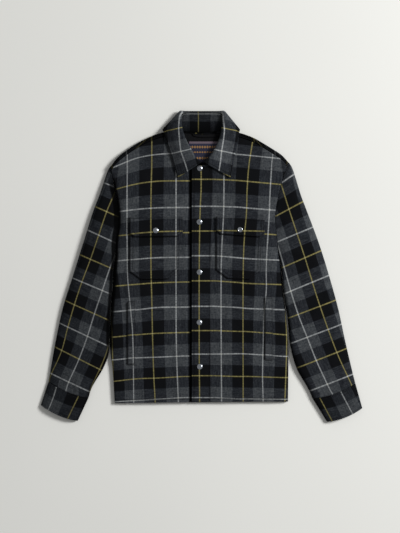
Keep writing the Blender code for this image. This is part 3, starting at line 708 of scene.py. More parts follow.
def backPanel():
    leftTop, rightTop = topLine.at(1.0), topLine.at(-1.0)
    wrap, drop, tall = body["shoulderWrap"], body["shoulderSeamDrop"], body["shoulderHeight"]
    flatEnd = back["flatEnd"]
    arc = math.pi * 0.5 * (wrap + tall * 0.5)
    flat = flatEnd - wrap
    path = flat + arc + drop - wrap - body["shoulderSeamGap"]
    edge = [0.0, 0.0] + [d * mm for d in back["edgeColumns"]]
    span = leftTop.x - rightTop.x
    count = round((span - 2 * edge[-1]) / back["step"])
    inner = [mix(rightTop.x + edge[-1], leftTop.x - edge[-1], k / count) for k in range(1, count)]
    ends = [rightTop.x + d for d in edge] + inner + [leftTop.x - d for d in reversed(edge)]
    lowRight, lowLeft = rightSide.at(-1.0).y, leftSide.at(-1.0).y
    lengthUp = rightTop.y - flatEnd - lowRight
    grid, uvGrid, paintedShadeGrid = [], [], []
    for t in spread(lengthUp, back["step"], back["hemRows"]):
        right = rightSide.at(mix(lowRight, rightTop.y - flatEnd, t))
        left = leftSide.at(mix(lowLeft, leftTop.y - flatEnd, t))
        turn = 1.0 - armholeShare(right.y)
        line, uvLine = [], []
        for k, xTop in enumerate(ends):
            s = (xTop - rightTop.x) / span
            fromRight, fromLeft = xTop - rightTop.x, leftTop.x - xTop
            nearest = min(fromRight, fromLeft)
            if k in (1, len(ends) - 2):
                nearest = back["nudge"] * (1.0 - turn)
            if nearest < back["edgeWidth"]:
                x = right.x + nearest if fromRight < fromLeft else left.x - nearest
            else:
                x = mix(right.x, left.x, s)
            y = mix(mix(lowRight, lowLeft, s), topLine.at(xTop).y - flatEnd, t)
            lift = body["seamTurn"] * turn if k in (0, len(ends) - 1) else 0.0
            line.append(Vector((x, y, backUnder(x, y) + lift)))
            uvLine.append(backPlaid(x, y))
        grid.append(line)
        uvGrid.append(uvLine)
        # Painted shade along the hem's stitch groove and on the bare neck strip
        groove = bump(t * lengthUp - front["hemStitch"], front["grooveWidth"])
        paintedShadeGrid.append([max(groove, neckPaintedShade(p.x, p.y)) for p in line])
    lastUv = uvGrid[-1]
    for k in range(1, back["wrapRows"] + 1):
        gone = path * k / back["wrapRows"]
        line, uvLine = [], []
        for at, xTop in enumerate(ends):
            if at in (1, len(ends) - 2):
                xTop += back["nudge"] if at == 1 else -back["nudge"]
            topY = topLine.at(xTop).y
            lift = neckRaise(xTop, topY)
            half = 0.5 * (tall - lift)
            if gone < flat:
                wrapped = Vector((0.0, gone - flatEnd, lift))
            elif gone < flat + arc:
                turn = math.pi * (gone - flat) / arc
                wrapped = Vector((0.0, wrap * (math.sin(turn) - 1.0), lift + half * (1.0 - math.cos(turn))))
            else:
                wrapped = Vector((0.0, -wrap - (gone - flat - arc), tall))
            level = Vector((0.0, -flatEnd * (1.0 - k / back["wrapRows"]), lift))
            outside = smooth(abs(xTop - 0.5 * sum(body["neckPointsX"])), 70 * mm, 78 * mm)
            offset = level.lerp(wrapped, outside)
            y = topY + offset.y
            if at < len(edge):
                x = rightSide.at(y).x + xTop - rightTop.x
            elif at >= len(ends) - len(edge):
                x = leftSide.at(y).x + xTop - leftTop.x
            else:
                x = xTop
            line.append(Vector((x, topLine.at(x).y + offset.y, offset.z)))
            uvLine.append((lastUv[at][0], lastUv[at][1] + gone / plaid["repeat"]))
        grid.append(line)
        uvGrid.append(uvLine)
        # Painted shade along the shoulder stitch groove and on the strip that wraps over the shoulder
        shoulderPaintedShade = bump(path - gone - back["seamStitch"], 1.2 * mm)
        shoulderPaintedShade = max(shoulderPaintedShade, back["stripShade"] * smooth(gone, flat + 0.45 * arc, flat + 0.8 * arc))
        paintedShadeGrid.append([max(shoulderPaintedShade, neckPaintedShade(p.x, p.y)) for p in line])
    return clothSheet("backPanel", grid, uvGrid, cloth["wall"], woolPlaid, offset=1.0, paintedShadeGrid=paintedShadeGrid)


backPiece = backPanel()

print("stage: sleeves and cuffs")

# The routes are the solids', but for the right sleeve's inner fold, which is fuller towards the body,
# and the first row of its outer fold
sleeves = {
    "rightOuter": (
        (-237.9, 262), (-245, 250), (-253, 227), (-267, 185), (-283, 143), (-309, 60), (-335, -23),
        (-361, -106), (-379, -189), (-392, -262), (-398, -297),
    ),
    "rightInner": (
        (-228.2, 22), (-232, -20), (-234.7, -69), (-238, -120), (-240.4, -183), (-242.2, -226),
        (-256.6, -264), (-284, -310), (-294, -339),
    ),
    "leftOuter": (
        (226, 272), (235, 257), (245, 227), (258, 185), (274, 143), (305, 60), (331, -23), (354, -106),
        (372, -189), (389, -262), (399, -302),
    ),
    "leftInner": (
        (204, 22), (209, -15), (213, -69), (223, -133), (229, -199), (246, -262), (274, -311), (288, -341),
    ),
    "heights": ((0.0, 15.0), (0.15, 18.0), (0.35, 20.0), (0.6, 18.5), (0.85, 15.5), (1.0, 14.0)),
    "cuffSag": 7.0 * mm,
    "cuffHeight": 14.0 * mm,
    "cuffSeamGap": 0.9 * mm,
    "cuffSeamStitch": 4.0 * mm,
    "cuffEndStitch": 5.0 * mm,
    "rightCuffEnd": ((-418, -358), (-322, -399)),
    "leftCuffEnd": ((417, -366), (325, -401)),
    "rows": 165,
    "outerFold": 0.25,
    "innerFold": 0.42,
    # Painted shade: foldShade over the foldDark reach darkens each sleeve's inner fold, more beside the body;
    # shade and cuffShade darken a whole sleeve or cuff
    "foldShade": 1.3,
    "foldDark": (3.0 * mm, 17.0 * mm),
    "besideBody": (-268 * mm, -238 * mm),
    "shade": {"right": 0.34, "left": 0.0},
    "cuffShade": {"right": 0.6, "left": 0.25},
    "columns": 26,
    "cuffColumns": 24,
    "rowSpacing": 1.08,
    "topRoll": (34.0 * mm, 24.0 * mm),
    "underRoll": 14.0 * mm,
    "foldColumns": (0, 0.5, 1.2, 2.2, 3.6, 5.4, 7.6, 10.2, 13, 16, 19.5, 23),
    # Broad folds of the solids: share down, share across, half length, half width, height
    "folds": (
        (0.22, 0.55, 0.06, 0.30, 1.8),
        (0.46, 0.72, 0.05, 0.22, 1.6),
        (0.60, 0.35, 0.05, 0.26, 1.4),
        (0.80, 0.60, 0.04, 0.30, 1.5),
    ),
    # Creases: share down, share across, half length, half width in millimetres, direction, height
    "rightCreases": (
        (0.10, 0.60, 46, 9, 34, 1.6), (0.20, 0.35, 52, 10, -24, -1.4), (0.33, 0.66, 60, 9, 22, 1.5),
        (0.41, 0.30, 40, 11, -10, 1.0), (0.52, 0.55, 50, 9, 28, -1.5), (0.58, 0.74, 44, 8, 46, 1.4),
        (0.70, 0.34, 52, 9, -18, 1.3), (0.78, 0.66, 44, 8, 40, -1.4), (0.90, 0.45, 34, 8, 80, 1.3),
        (0.95, 0.25, 26, 7, 84, -1.2), (0.96, 0.70, 26, 7, 96, 1.3), (0.30, 0.15, 70, 8, 88, -0.9),
    ),
    "leftCreases": (
        (0.09, 0.50, 46, 9, 146, 1.5), (0.18, 0.70, 52, 10, 200, -1.4), (0.30, 0.40, 60, 9, 158, 1.5),
        (0.44, 0.62, 42, 10, 190, 1.2), (0.50, 0.35, 50, 9, 152, -1.5), (0.62, 0.70, 44, 8, 134, 1.4),
        (0.68, 0.40, 52, 9, 198, 1.2), (0.80, 0.58, 44, 8, 140, -1.5), (0.89, 0.35, 34, 8, 100, 1.2),
        (0.94, 0.62, 26, 7, 94, -1.2), (0.97, 0.26, 26, 7, 86, 1.3), (0.36, 0.84, 70, 8, 92, -0.9),
    ),
}
sleevePlaid = {
    "right": {
        "gold": (
            (-198, 255), (-230, 179), (-246, 141), (-267, 79), (-288, 17), (-311, -44), (-330, -102),
            (-347, -160), (-363, -220), (-387, -274), (-396, -296),
        ),
        "white": (
            (-136, 255), (-168, 179), (-184, 141), (-206, 79), (-229, 17), (-239, -9), (-258, -66),
            (-278, -125), (-297, -185), (-320, -246), (-345, -301), (-352, -322),
        ),
        "cross": (
            (1, (-252, 216), (-234, 209)), (2, (-275, 154), (-227, 133)), (3, (-296, 94), (-233, 65)),
            (4, (-316, 30), (-235, -5)), (5, (-336, -30), (-238, -71)), (6, (-354, -89), (-245, -138)),
            (7, (-367, -148), (-248, -204)), (8, (-379, -210), (-259, -270)), (9, (-392, -278), (-292, -325)),
        ),
        "cuffGold": ((-319, -335), (-347, -395)),
        "cuffWhite": ((-378, -330), (-397, -371)),
    },
    "left": {
        "gold": ((206, 214), (227, 146), (268, 21), (306, -101), (350, -222), (390, -309)),
        "white": (
            (140, 214), (165, 146), (201, 43), (229, -57), (250, -124), (275, -188), (299, -248),
            (329, -312), (340, -332),
        ),
        "cross": (
            (1, (242, 240), (204, 214)), (2, (266, 169), (193, 130)), (3, (291, 102), (201, 65)),
            (4, (312, 41), (206, -5)), (5, (332, -23), (213, -72)), (6, (351, -87), (221, -136)),
            (7, (365, -150), (229, -201)), (8, (380, -212), (247, -264)), (9, (394, -280), (280, -324)),
        ),
        "cuffGold": ((308, -345), (338, -400)),
        "cuffWhite": ((361, -325), (389, -377)),
    },
    "girth": 57.0 * mm,
    "beyond": 66.0 * mm,  # from the white line on towards the inner fold
}


def crossNumber(lines, x, y):  # number between slanted lines, by the distance to each
    p = Vector((x, y))
    before = None
    for number, a, b in lines:
        a, b = Vector(a) * mm, Vector(b) * mm
        way = (b - a).normalized()
        off = way.x * (p.y - a.y) - way.y * (p.x - a.x)
        if way.x < 0.0:
            off = -off
        if off > 0.0:  # above this line
            if before is None:
                return number - off / plaid["repeat"]
            return before[0] + before[1] / (before[1] + off) * (number - before[0])
        before = (number, -off)
    return before[0] + before[1] / plaid["repeat"]


def sleeveRing(outer, inner, shift, t, height, q, upper, creases=()):
    foldZ = height * mix(sleeves["outerFold"], sleeves["innerFold"], q)
    place = outer.lerp(inner, q) + shift
    width = (inner - outer).length
    inwards = min(q, 1.0 - q) * width
    if upper:
        z = foldZ + (height - foldZ) * roll(inwards, min(mix(*sleeves["topRoll"], q), width * 0.4))
        for atT, atQ, long, wide, high in sleeves["folds"]:
            hump = math.exp(-(((t - atT + 0.10 * (q - atQ)) / long) ** 2) - ((q - atQ) / wide) ** 2)
            z += high * mm * hump * roll(inwards, 30 * mm)
        z += creasesAt(creases, place.x, place.y) * smooth(inwards, 2 * mm, 22 * mm)
        z -= valleyDip(place.x, place.y)
    else:
        z = foldZ * (1.0 - roll(inwards, min(sleeves["underRoll"], width * 0.3)))
        z += 0.6 * max(0.0, -creasesAt(creases, place.x, place.y)) * smooth(inwards, 14 * mm, 30 * mm)
    return Vector((place.x, place.y, z))


def ringColumns(width, count):
    near = [0.0] + [d * mm / width for d in sleeves["foldColumns"][1:]]
    middle = [mix(near[-1], 1.0 - near[-1], k / count) for k in range(1, count)]
    shares = near + middle + [1.0 - d for d in reversed(near)]
    return [(q, True) for q in shares] + [(q, False) for q in reversed(shares[1:-1])]


def ringInOrder(line, columns, number, width, flip, grow=1.0):
    # From the inner fold, where the sleeve seam is, under the sleeve, over its top and back to the fold
    count = len(line)
    start = [k for k, (q, upper) in enumerate(columns) if q == 1.0][0]
    order = [(start + k) % count for k in range(count + 1)]
    points = [line[k] for k in order]
    core = []
    for k, at in enumerate(order):
        q, upper = columns[at]
        if upper and min(q, 1.0 - q) * width > 12 * mm:
            core.append(k)
    found = [0.0] * (count + 1)
    for k in core:
        found[k] = number(points[k])
    for k in range(core[-1], count):
        found[k + 1] = found[k] + grow * (points[k + 1] - points[k]).length / sleevePlaid["girth"]
    for k in range(core[0], 0, -1):
        found[k - 1] = found[k] - grow * (points[k] - points[k - 1]).length / sleevePlaid["girth"]
    if flip:
        points, found = points[::-1], found[::-1]
    return points, found


def placedCreases(table, outer, inner):
    placed = []
    for t, q, length, width, turn, height in table:
        p = outer.at(t).lerp(inner.at(t), q)
        placed.append((p.x / mm, p.y / mm, length, width, turn, height))
    return placed


def foldShade(p, fold):  # painted shade along the inner fold of a sleeve, darkest beside the body
    shade = sleeves["foldShade"] + (0.5 * smooth(p.y, *sleeves["besideBody"]) if p.x < 0.0 else 0.0)
    return shade * (1.0 - smooth((p - fold).length, *sleeves["foldDark"]))


def sleeve(name, key, side, sideSign):
    outer, inner = Route(sleeves[key + "Outer"]), Route(sleeves[key + "Inner"])
    creases = placedCreases(sleeves[key + "Creases"], outer, inner)
    check = sleevePlaid[key]
    gold, white = ByAxis(check["gold"], 1), ByAxis(check["white"], 1)

    def lengthwise(p):
        x, y = p.x + planShift.x, p.y + planShift.y
        g, w = gold.at(y).x, white.at(y).x
        past = (x - w) * (1.0 if w > g else -1.0)
        return 1.0 + past / sleevePlaid["beyond"] if past > 0.0 else (x - g) / (w - g)

    top, bottom = outer.at(0.0), inner.at(0.0)
    grid, uvGrid, paintedShadeGrid = [], [], []
    for k in range(sleeves["rows"] + 1):
        t = (k / sleeves["rows"]) ** sleeves["rowSpacing"]
        o, i = outer.at(t), inner.at(t)
        height = tableValue(sleeves["heights"], t, scale=1.0)
        columns = ringColumns((i - o).length, sleeves["columns"])
        line = []
        for q, upper in columns:
            armhole = side.at(mix(top.y, bottom.y, q))
            across = top.lerp(bottom, q)
            gap = cloth["seamGap"] + cloth["capGap"] * (1.0 - q)
            bend = Vector((armhole.x + sideSign * gap - across.x, 0.0)) * (1.0 - t) ** 3
            if k == 0 and q in (0.0, 1.0):
                bend = Vector((0.0, 0.0))
            droop = Vector((0.0, -sleeves["cuffSag"] * 4.0 * q * (1.0 - q) * t ** 3))
            line.append(sleeveRing(o, i, bend + droop, t, height, q, upper, creases))
        points, numbers = ringInOrder(line, columns, lengthwise, (i - o).length, sideSign < 0)
        down = [crossNumber(check["cross"], p.x + planShift.x, p.y + planShift.y) for p in points]
        grid.append(points[:-1])
        uvGrid.append(list(zip(numbers, down)))
        # Painted shade: the armhole stitch groove, the valley beside the body, the whole right sleeve and the
        # inner fold
        ease = bump(t * outer.reach[-1] - 5 * mm, 2.2 * mm)
        fold = Vector((i.x, i.y, sleeves["innerFold"] * height))
        paintedShadeGrid.append([
            max(ease, valleyShade(p.x, p.y), sleeves["shade"][key], foldShade(p, fold)) for p in points[:-1]
        ])
    return clothSheet(name, grid, uvGrid, cloth["wall"], woolPlaid, ring=True, paintedShadeGrid=paintedShadeGrid)


sleeveRight = sleeve("sleeveRight", "right", rightSide, -1.0)
sleeveLeft = sleeve("sleeveLeft", "left", leftSide, 1.0)


def cuffRun(key):  # outer and inner corners at the seam and at the end, the way along, and the length
    start = [Route(sleeves[key + fold]).at(1.0) for fold in ("Outer", "Inner")]
    end = [Vector(p) * mm for p in sleeves[key + "CuffEnd"]]
    along = (end[0] + end[1] - start[0] - start[1]).normalized()
    length = (0.5 * (end[0] + end[1]) - 0.5 * (start[0] + start[1])).length
    return start, end, along, length


def cuffFolds(run, t):
    start, end, along, length = run
    return start[0].lerp(end[0], t), start[1].lerp(end[1], t)


def cuffPoint(run, t, q, upper, groove):
    o, i = cuffFolds(run, t)
    droop = Vector((0.0, -sleeves["cuffSag"] * 4.0 * q * (1.0 - q)))
    droop += run[2] * sleeves["cuffSeamGap"] * (1.0 - t)
    p = sleeveRing(o, i, droop, 2.0, sleeves["cuffHeight"], q, upper)
    if upper:
        away = min(q, 1.0 - q) * (i - o).length
        ripple = 0.5 * mm * math.sin(p.x / (7.3 * mm) + t) * math.sin(math.pi * t)
        p.z += (ripple - groove * 0.45 * mm) * smooth(away, 4 * mm, 16 * mm)
    return p


def cuff(name, key, sideSign):
    run = cuffRun(key)
    length = run[3]
    check = sleevePlaid[key]
    gold, white = (Route(check[line]) for line in ("cuffGold", "cuffWhite"))

    def lengthwise(p, t):
        g, w = gold.at(t), white.at(t)
        way = (w - g).normalized()
        place = Vector((p.x + planShift.x, p.y + planShift.y))
        return (place - g).dot(way) / (w - g).length

    grid, uvGrid, paintedShadeGrid = [], [], []
    for t in spread(length, 2.4 * mm, (0, 1, 2, 3, 4, 5.5, 7.5), (0, 1, 2.2, 3.6, 5, 6.4, 8)):
        o, i = cuffFolds(run, t)
        width = (i - o).length
        columns = ringColumns(width, sleeves["cuffColumns"])
        grooves = (t * length - sleeves["cuffSeamStitch"], (1.0 - t) * length - sleeves["cuffEndStitch"])
        groove = max(bump(distance, 1.3 * mm) for distance in grooves)
        line = [cuffPoint(run, t, q, upper, groove) for q, upper in columns]
        points, numbers = ringInOrder(
            line, columns, lambda p, t=t: lengthwise(p, t), width, sideSign < 0, -1.0,
        )
        grid.append(points[:-1])
        uvGrid.append([(u, mix(0.13, 0.93, t)) for u in numbers])
        fold = Vector((i.x, i.y, sleeves["innerFold"] * sleeves["cuffHeight"]))
        # Painted shade: the stitch grooves, the whole cuff and its inner fold
        paintedShadeGrid.append([max(groove, sleeves["cuffShade"][key], foldShade(p, fold)) for p in points[:-1]])
    return clothSheet(name, grid, uvGrid, cloth["cuffWall"], woolPlaid, ring=True, paintedShadeGrid=paintedShadeGrid)


cuffRight = cuff("cuffRight", "right", -1.0)
cuffLeft = cuff("cuffLeft", "left", 1.0)

print("stage: collar")

collar = {
    "fold": 6.6 * mm,
    "foldReach": 4.5 * mm,
    "seamGap": 1.0 * mm,
    "sideGap": 8.0 * mm,
    "sideShift": 2.0 * mm,
    "stations": 180,
    "foldSteps": 14,
    "fallSteps": 26,
    "standSteps": 14,
    "stitchInset": 6.0 * mm,
    "leafRun": 260.0 * mm,
    "leafSwell": 0.7 * mm,
    "fallSpacing": 1.35,
    "stitchEnd": 5.6,
    "firstStitch": 0.26,
    # Painted shade and light: leafShade darkens the right leaf's outer half, leafLight lightens the left
    # leaf, crestShade darkens the crest round the back
    "leafShade": 0.8,
    "leafLight": 0.45,
    "crestShade": 0.9,
    "leafLift": 2.2 * mm,
    "unit": 60.0 * mm,
    "standUnit": 40.0 * mm,
    # The solids' rows, from centre front to centre back: neck seam, roll line, edge of the fall, and
    # the way out of the neck at the roll
    "right": (
        ((-9, 266.5, 16.6), (-1, 271, 21.6), (-62, 231, 19.8), (0, 0, 1)),
        ((-21, 271, 16.4), (-15, 282, 21.6), (-69, 255, 19.6), (0, 0, 1)),
        ((-37, 281, 16.4), (-28, 305, 21.4), (-75, 279, 19.5), (0, 0, 1)),
        ((-54, 297, 16.0), (-40, 327, 21.2), (-82, 300, 19.3), (0, 0, 1)),
        ((-64, 313, 15.6), (-47, 344, 21.0), (-88, 318, 19.1), (0, 0, 1)),
        ((-70, 330, 15.0), (-52, 362, 20.4), (-94, 336, 19.0), (-0.1, 0.1, 1)),
        ((-73, 342, 13.4), (-54, 381, 19.4), (-98, 348, 17.0), (-0.4, 0.4, 0.8)),
        ((-72, 353, 9.8), (-53, 402, 13.6), (-101, 357, 9.6), (-0.7, 0.71, 0)),
        ((-67, 353, 7.6), (-49, 404, 8.8), (-99, 351, 4.0), (-0.6, 0.6, -0.5)),
        ((-60, 353, 6.2), (-42, 404, 6.6), (-88, 339, 1.7), (-0.3, 0.3, -0.9)),
        ((-38, 352, 5.2), (-24, 404, 5.0), (-48, 330, 1.6), (0, 0, -1)),
        ((0, 350, 5.2), (0, 404, 4.9), (0, 328, 1.6), (0, 0, -1)),
    ),
    "left": (
        ((12, 269, 16.6), (4, 272, 21.6), (74, 232, 19.8), (0, 0, 1)),
        ((22, 275, 16.4), (20, 285, 21.6), (80, 262, 19.6), (0, 0, 1)),
        ((35, 284, 16.4), (31, 301, 21.4), (86, 290, 19.5), (0, 0, 1)),
        ((51, 301, 16.0), (41, 320, 21.2), (90, 310, 19.3), (0, 0, 1)),
        ((61, 315, 15.6), (48, 338, 21.0), (93, 326, 19.1), (0, 0, 1)),
        ((68, 330, 15.0), (53, 362, 20.4), (95, 339, 19.0), (0.1, 0.1, 1)),
        ((71, 342, 13.4), (55, 381, 19.4), (97, 348, 17.0), (0.4, 0.4, 0.8)),
        ((70, 353, 9.8), (55, 402, 13.6), (98, 357, 9.6), (0.7, 0.71, 0)),
        ((65, 353, 7.6), (51, 404, 8.8), (97, 351, 4.0), (0.6, 0.6, -0.5)),
        ((58, 353, 6.2), (43, 404, 6.6), (86, 339, 1.7), (0.3, 0.3, -0.9)),
        ((38, 352, 5.2), (24, 404, 5.0), (48, 330, 1.6), (0, 0, -1)),
        ((0, 350, 5.2), (0, 404, 4.9), (0, 328, 1.6), (0, 0, -1)),
    ),
    # Check lines on the two leaves, in the frame's plan: along the leaf, and across it by number
    "rightLong": (
        (-51, 401), (-57, 385), (-59, 359), (-57, 328), (-53, 297), (-43, 268), (-35, 242), (-28, 225),
    ),
    "leftLong": ((55, 395), (59, 356), (57, 330), (52, 298), (49, 271), (44, 239), (42, 225)),
    "rightCross": (
        (3, (-110, 396), (-50, 403)), (2, (-95, 349), (-52, 359)), (1, (-88, 289), (-32, 302)),
        (0, (-62, 231.5), (-43, 239)), (-1, (-62, 172), (-43, 180)),
    ),
    "leftCross": (
        (3, (50, 403), (110, 396)), (2, (55, 358), (98, 349)), (1, (37, 301), (92, 290)),
        (0, (48, 242), (74, 232)), (-1, (48, 183), (74, 173)),
    ),
    "backGold": -8.5,
    "backRight": -53.0,
    "backLeft": 55.0,
    "backWhiteY": 394.3,
}


def leafNumbers(p, key):
    x, y = p.x + planShift.x, p.y + planShift.y
    long = collarLong[key].at(y).x
    v = 1.0 + ((long - x) if key == "right" else (x - long)) / collar["unit"]
    lines = [(-number, a, b) for number, a, b in collar[key + "Cross"]]
    return -crossNumber(lines, x, y), v


def leafLift(share, fromPoint):  # the leaves stand off the fronts along their outer edge
    return collar["leafLift"] * smooth(share, 0.25, 1.0) * (1.0 - smooth(fromPoint, 4.0, 6.0))


def backNumber(x):  # number of a lengthwise line of the collar's back, from its place across the neck
    gold = collar["backGold"]
    across = (x + planShift.x) / mm - gold
    reach = gold - collar["backRight"] if across < 0.0 else collar["backLeft"] - gold
    return 4.0 + across / reach


# Rows from the right front round the back of the neck to the left front
collarRows = list(collar["right"]) + list(reversed(collar["left"][:-1]))
collarParts = [[Vector(row[part]) * mm for row in collarRows] for part in range(3)]
collarWays = [Vector(row[3]) for row in collarRows]
lastCollarRow = len(collarRows) - 1


def collarSection(place):
    seam, crest, edge = (through(part, place) for part in collarParts)
    out = through(collarWays, place).normalized()
    backWay = crest - edge
    backWay.z = 0.0
    backWay.normalize()
    return seam, crest, edge, out, backWay, crest - backWay * collar["foldReach"]


def collarPieces():
    fallGrid, fallUv, fallShadeRows, standGrid, standUv, standShadeRows = [], [], [], [], [], []
    wall, radius = cloth["wall"], collar["fold"] * 0.5
    middle = collar["foldSteps"] // 2
    for n in range(collar["stations"] + 1):
        place = n / collar["stations"] * lastCollarRow
        seam, crest, edge, out, backWay, centre = collarSection(place)
        key = "right" if place <= 11 else "left"
        fromPoint = min(place, lastCollarRow - place)
        inside = centre - out * radius
        outside = centre + out * radius
        sideShare = 1.0 - min(abs(out.z), 1.0)
        gap = mix(collar["seamGap"], collar["sideGap"], sideShare)
        topEdge = inside + (seam - inside).normalized() * gap - out * collar["sideShift"] * sideShare
        stand = [seam.lerp(topEdge, k / collar["standSteps"]) for k in range(collar["standSteps"] + 1)]
        line = []
        for k in range(collar["foldSteps"] + 1):
            turn = math.pi * k / collar["foldSteps"]
            rise = backWay * collar["foldReach"] * math.sin(turn)
            line.append(centre - out * radius * math.cos(turn) + rise)
        fallLength = (edge - outside).length
        endGap = min(fromPoint / lastCollarRow * 2.0 * collar["leafRun"], 60 * mm)
        # Painted shade on the inner half of the fold's crest round the back of the neck
        paintedCrestShade = collar["crestShade"] * smooth(fromPoint, 8.0, 9.0)
        grooves = [paintedCrestShade * (1.0 - smooth(k, middle, 1.6 * middle)) for k in range(len(line))]
        for k in range(1, collar["fallSteps"] + 1):
            share = 1.0 - (1.0 - k / collar["fallSteps"]) ** collar["fallSpacing"]
            p = outside.lerp(edge, share)
            toEdge = (1.0 - share) * fallLength
            groove = max(bump(away - collar["stitchInset"], 1.4 * mm) for away in (toEdge, endGap))
            if out.z > 0.5:
                p.z = max(p.z, frontTop(p.x, p.y) + 0.5 * wall + cloth["liningGap"])
                swell = collar["leafSwell"] * math.sin(math.pi * min(share * 1.1, 1.0))
                p.z += swell * smooth(fromPoint, 0.0, 1.2) - groove * 0.4 * mm + leafLift(share, fromPoint)
            line.append(p)
            # Painted shade on the right leaf's outer half and along its outer edge, painted light on the left
            # leaf; the grooves list holds these with the stitch groove shade
            leafPaintedShade = collar["leafShade"] * smooth(share, 0.15, 0.75) if key == "right" else 0.0
            leafPaintedLight = collar["leafLight"] * (1.0 - smooth(fromPoint, 5.0, 7.0)) if key == "left" else 0.0
            paintedEdgeShadow = 1.5 * (1.0 - smooth(toEdge, 1.0 * mm, 3.6 * mm)) if key == "right" else 0.0
            grooves.append(max(groove, leafPaintedShade, paintedEdgeShadow) - leafPaintedLight)
        # Check numbers: by the plan on the leaves, by the length of the cloth round the back
        backShare = smooth(fromPoint, 6.0, 8.5)
        aroundBack = backNumber(crest.x)
        crestV = 1.0 + (crest.y + planShift.y - collar["backWhiteY"] * mm) / collar["unit"]
        gone = [0.0] * len(line)
        for k in range(middle, len(line) - 1):
            gone[k + 1] = gone[k] + (line[k + 1] - line[k]).length
        for k in range(middle, 0, -1):
            gone[k - 1] = gone[k] - (line[k] - line[k - 1]).length
        uvLine = []
        for p, arc in zip(line, gone):
            leafU, leafV = leafNumbers(p, key)
            leafU = leafU if key == "right" else 8.0 - leafU
            backV = crestV + arc / collar["unit"]
            uvLine.append((mix(leafU, aroundBack, backShare), mix(leafV, backV, backShare)))
        u0, v0 = uvLine[0]
        standGrid.append(stand)
        # Painted shade inside the stand, darker towards its sides and near black at the neck seam
        standPaintedShade = 0.55 + 0.6 * smooth(abs(crest.x), 30 * mm, 50 * mm)
        standShadeRows.append([max(standPaintedShade, 1.45 * (1.0 - k / collar["standSteps"])) for k in range(len(stand))])
        standLine = []
        for p in stand:
            down = (p - topEdge).length / collar["standUnit"]
            down = min(down, 0.6) + 0.3 * max(down - 0.6, 0.0)
            standLine.append((mix(u0, backNumber(p.x), backShare), v0 - down))
        standUv.append(standLine)
        fallGrid.append(line)
        fallUv.append(uvLine)
        fallShadeRows.append(grooves)
    standPiece = clothSheet("collarStand", standGrid, standUv, wall, woolPlaid, 0.0, paintedShadeGrid=standShadeRows)
    fallPiece = clothSheet("collarFall", fallGrid, fallUv, wall, woolPlaid, 0.0, paintedShadeGrid=fallShadeRows)
    return standPiece, fallPiece


collarLong = {key: ByAxis(collar[key + "Long"], 1) for key in ("right", "left")}
collarStand, collarFall = collarPieces()

print("stage: pockets, flaps and welts")

patchTable = (
    ("pocketRight", ((-188, -33), (-57, -31), (-57, 126), (-187, 124)), (30, 22), (0, 0)),
    ("pocketLeft", ((37, -29), (153, -33), (157, 119), (37, 128)), (30, 22), (0, 0)),
    ("flapRight", ((-187, 78), (-49, 79), (-49, 130), (-187, 129)), (12, 9), (1.5, 3.7)),
    ("flapLeft", ((37, 86), (162, 77), (163, 122), (37, 131)), (12, 9), (1, 7)),
    ("weltRight", ((-193, -252), (-172, -252), (-172, -91), (-193, -91)), (0, 0), (1, 1)),
    ("weltLeft", ((163, -240), (184, -240), (184, -79), (163, -79)), (0, 0), (1, 1)),
)
patches = {name: {"corners": corners, "cut": cut, "shift": shift} for name, corners, cut, shift in patchTable}
patchRows = {
    "pocket": {"step": 2.0 * mm, "insets": (2.4, 8.8), "puff": 0.35 * mm},
    "flap": {"step": 1.8 * mm, "insets": (2.4, 8.8), "puff": 0.45 * mm, "lift": 1.5 * mm},
    "welt": {"step": 1.5 * mm, "insets": (1.9,), "puff": 0.25 * mm},
    "groove": 0.34 * mm,
    "grooveWidth": 1.05 * mm,
    "near": (0, 0.7, 1.5, 2.4, 3.4, 4.8, 6.4, 7.8, 8.8, 9.8, 11.2),
    "nearWelt": (0, 0.7, 1.9, 3.0, 4.4),
    # edgeShade and the reach after it are the painted shadow along a patch's left and lower edges
    "edgeShade": 1.6,
    "paintedEdgeShadow": (1.0 * mm, 2.6 * mm),
}


def edgeGap(s, t, width, length, cut):
    # Distance in from the sides and the lower edge with its cut corners, and from the top
    side = min(s, 1.0 - s) * width
    low = t * length
    if cut[0]:
        cx, cy = cut[0] * mm, cut[1] * mm
        long = math.hypot(cx, cy)
        corner = (side * cy + low * cx - cx * cy) / long
        return min(side, low, corner), (1.0 - t) * length
    return min(side, low), (1.0 - t) * length


def patchHeight(x, y):
    return rightFrontTop(x, y) if x < body["lapEdgeX"] else leftFrontTop(x, y)


def patchPoint(corners, s, t):
    a, b, c, d = (Vector(corner) * mm for corner in corners)
    return a.lerp(b, s).lerp(d.lerp(c, s), t)


def flapLift(name, x, y):  # the lower edge of a flap stands off its pocket
    if name not in ("flapRight", "flapLeft"):
        return 0.0
    (ax, ay), (bx, by) = patches[name]["corners"][:2]
    above = y - mix(ay, by, (x / mm - ax) / (bx - ax)) * mm
    return patchRows["flap"]["lift"] * (1.0 - smooth(above, 0.0, 17 * mm))


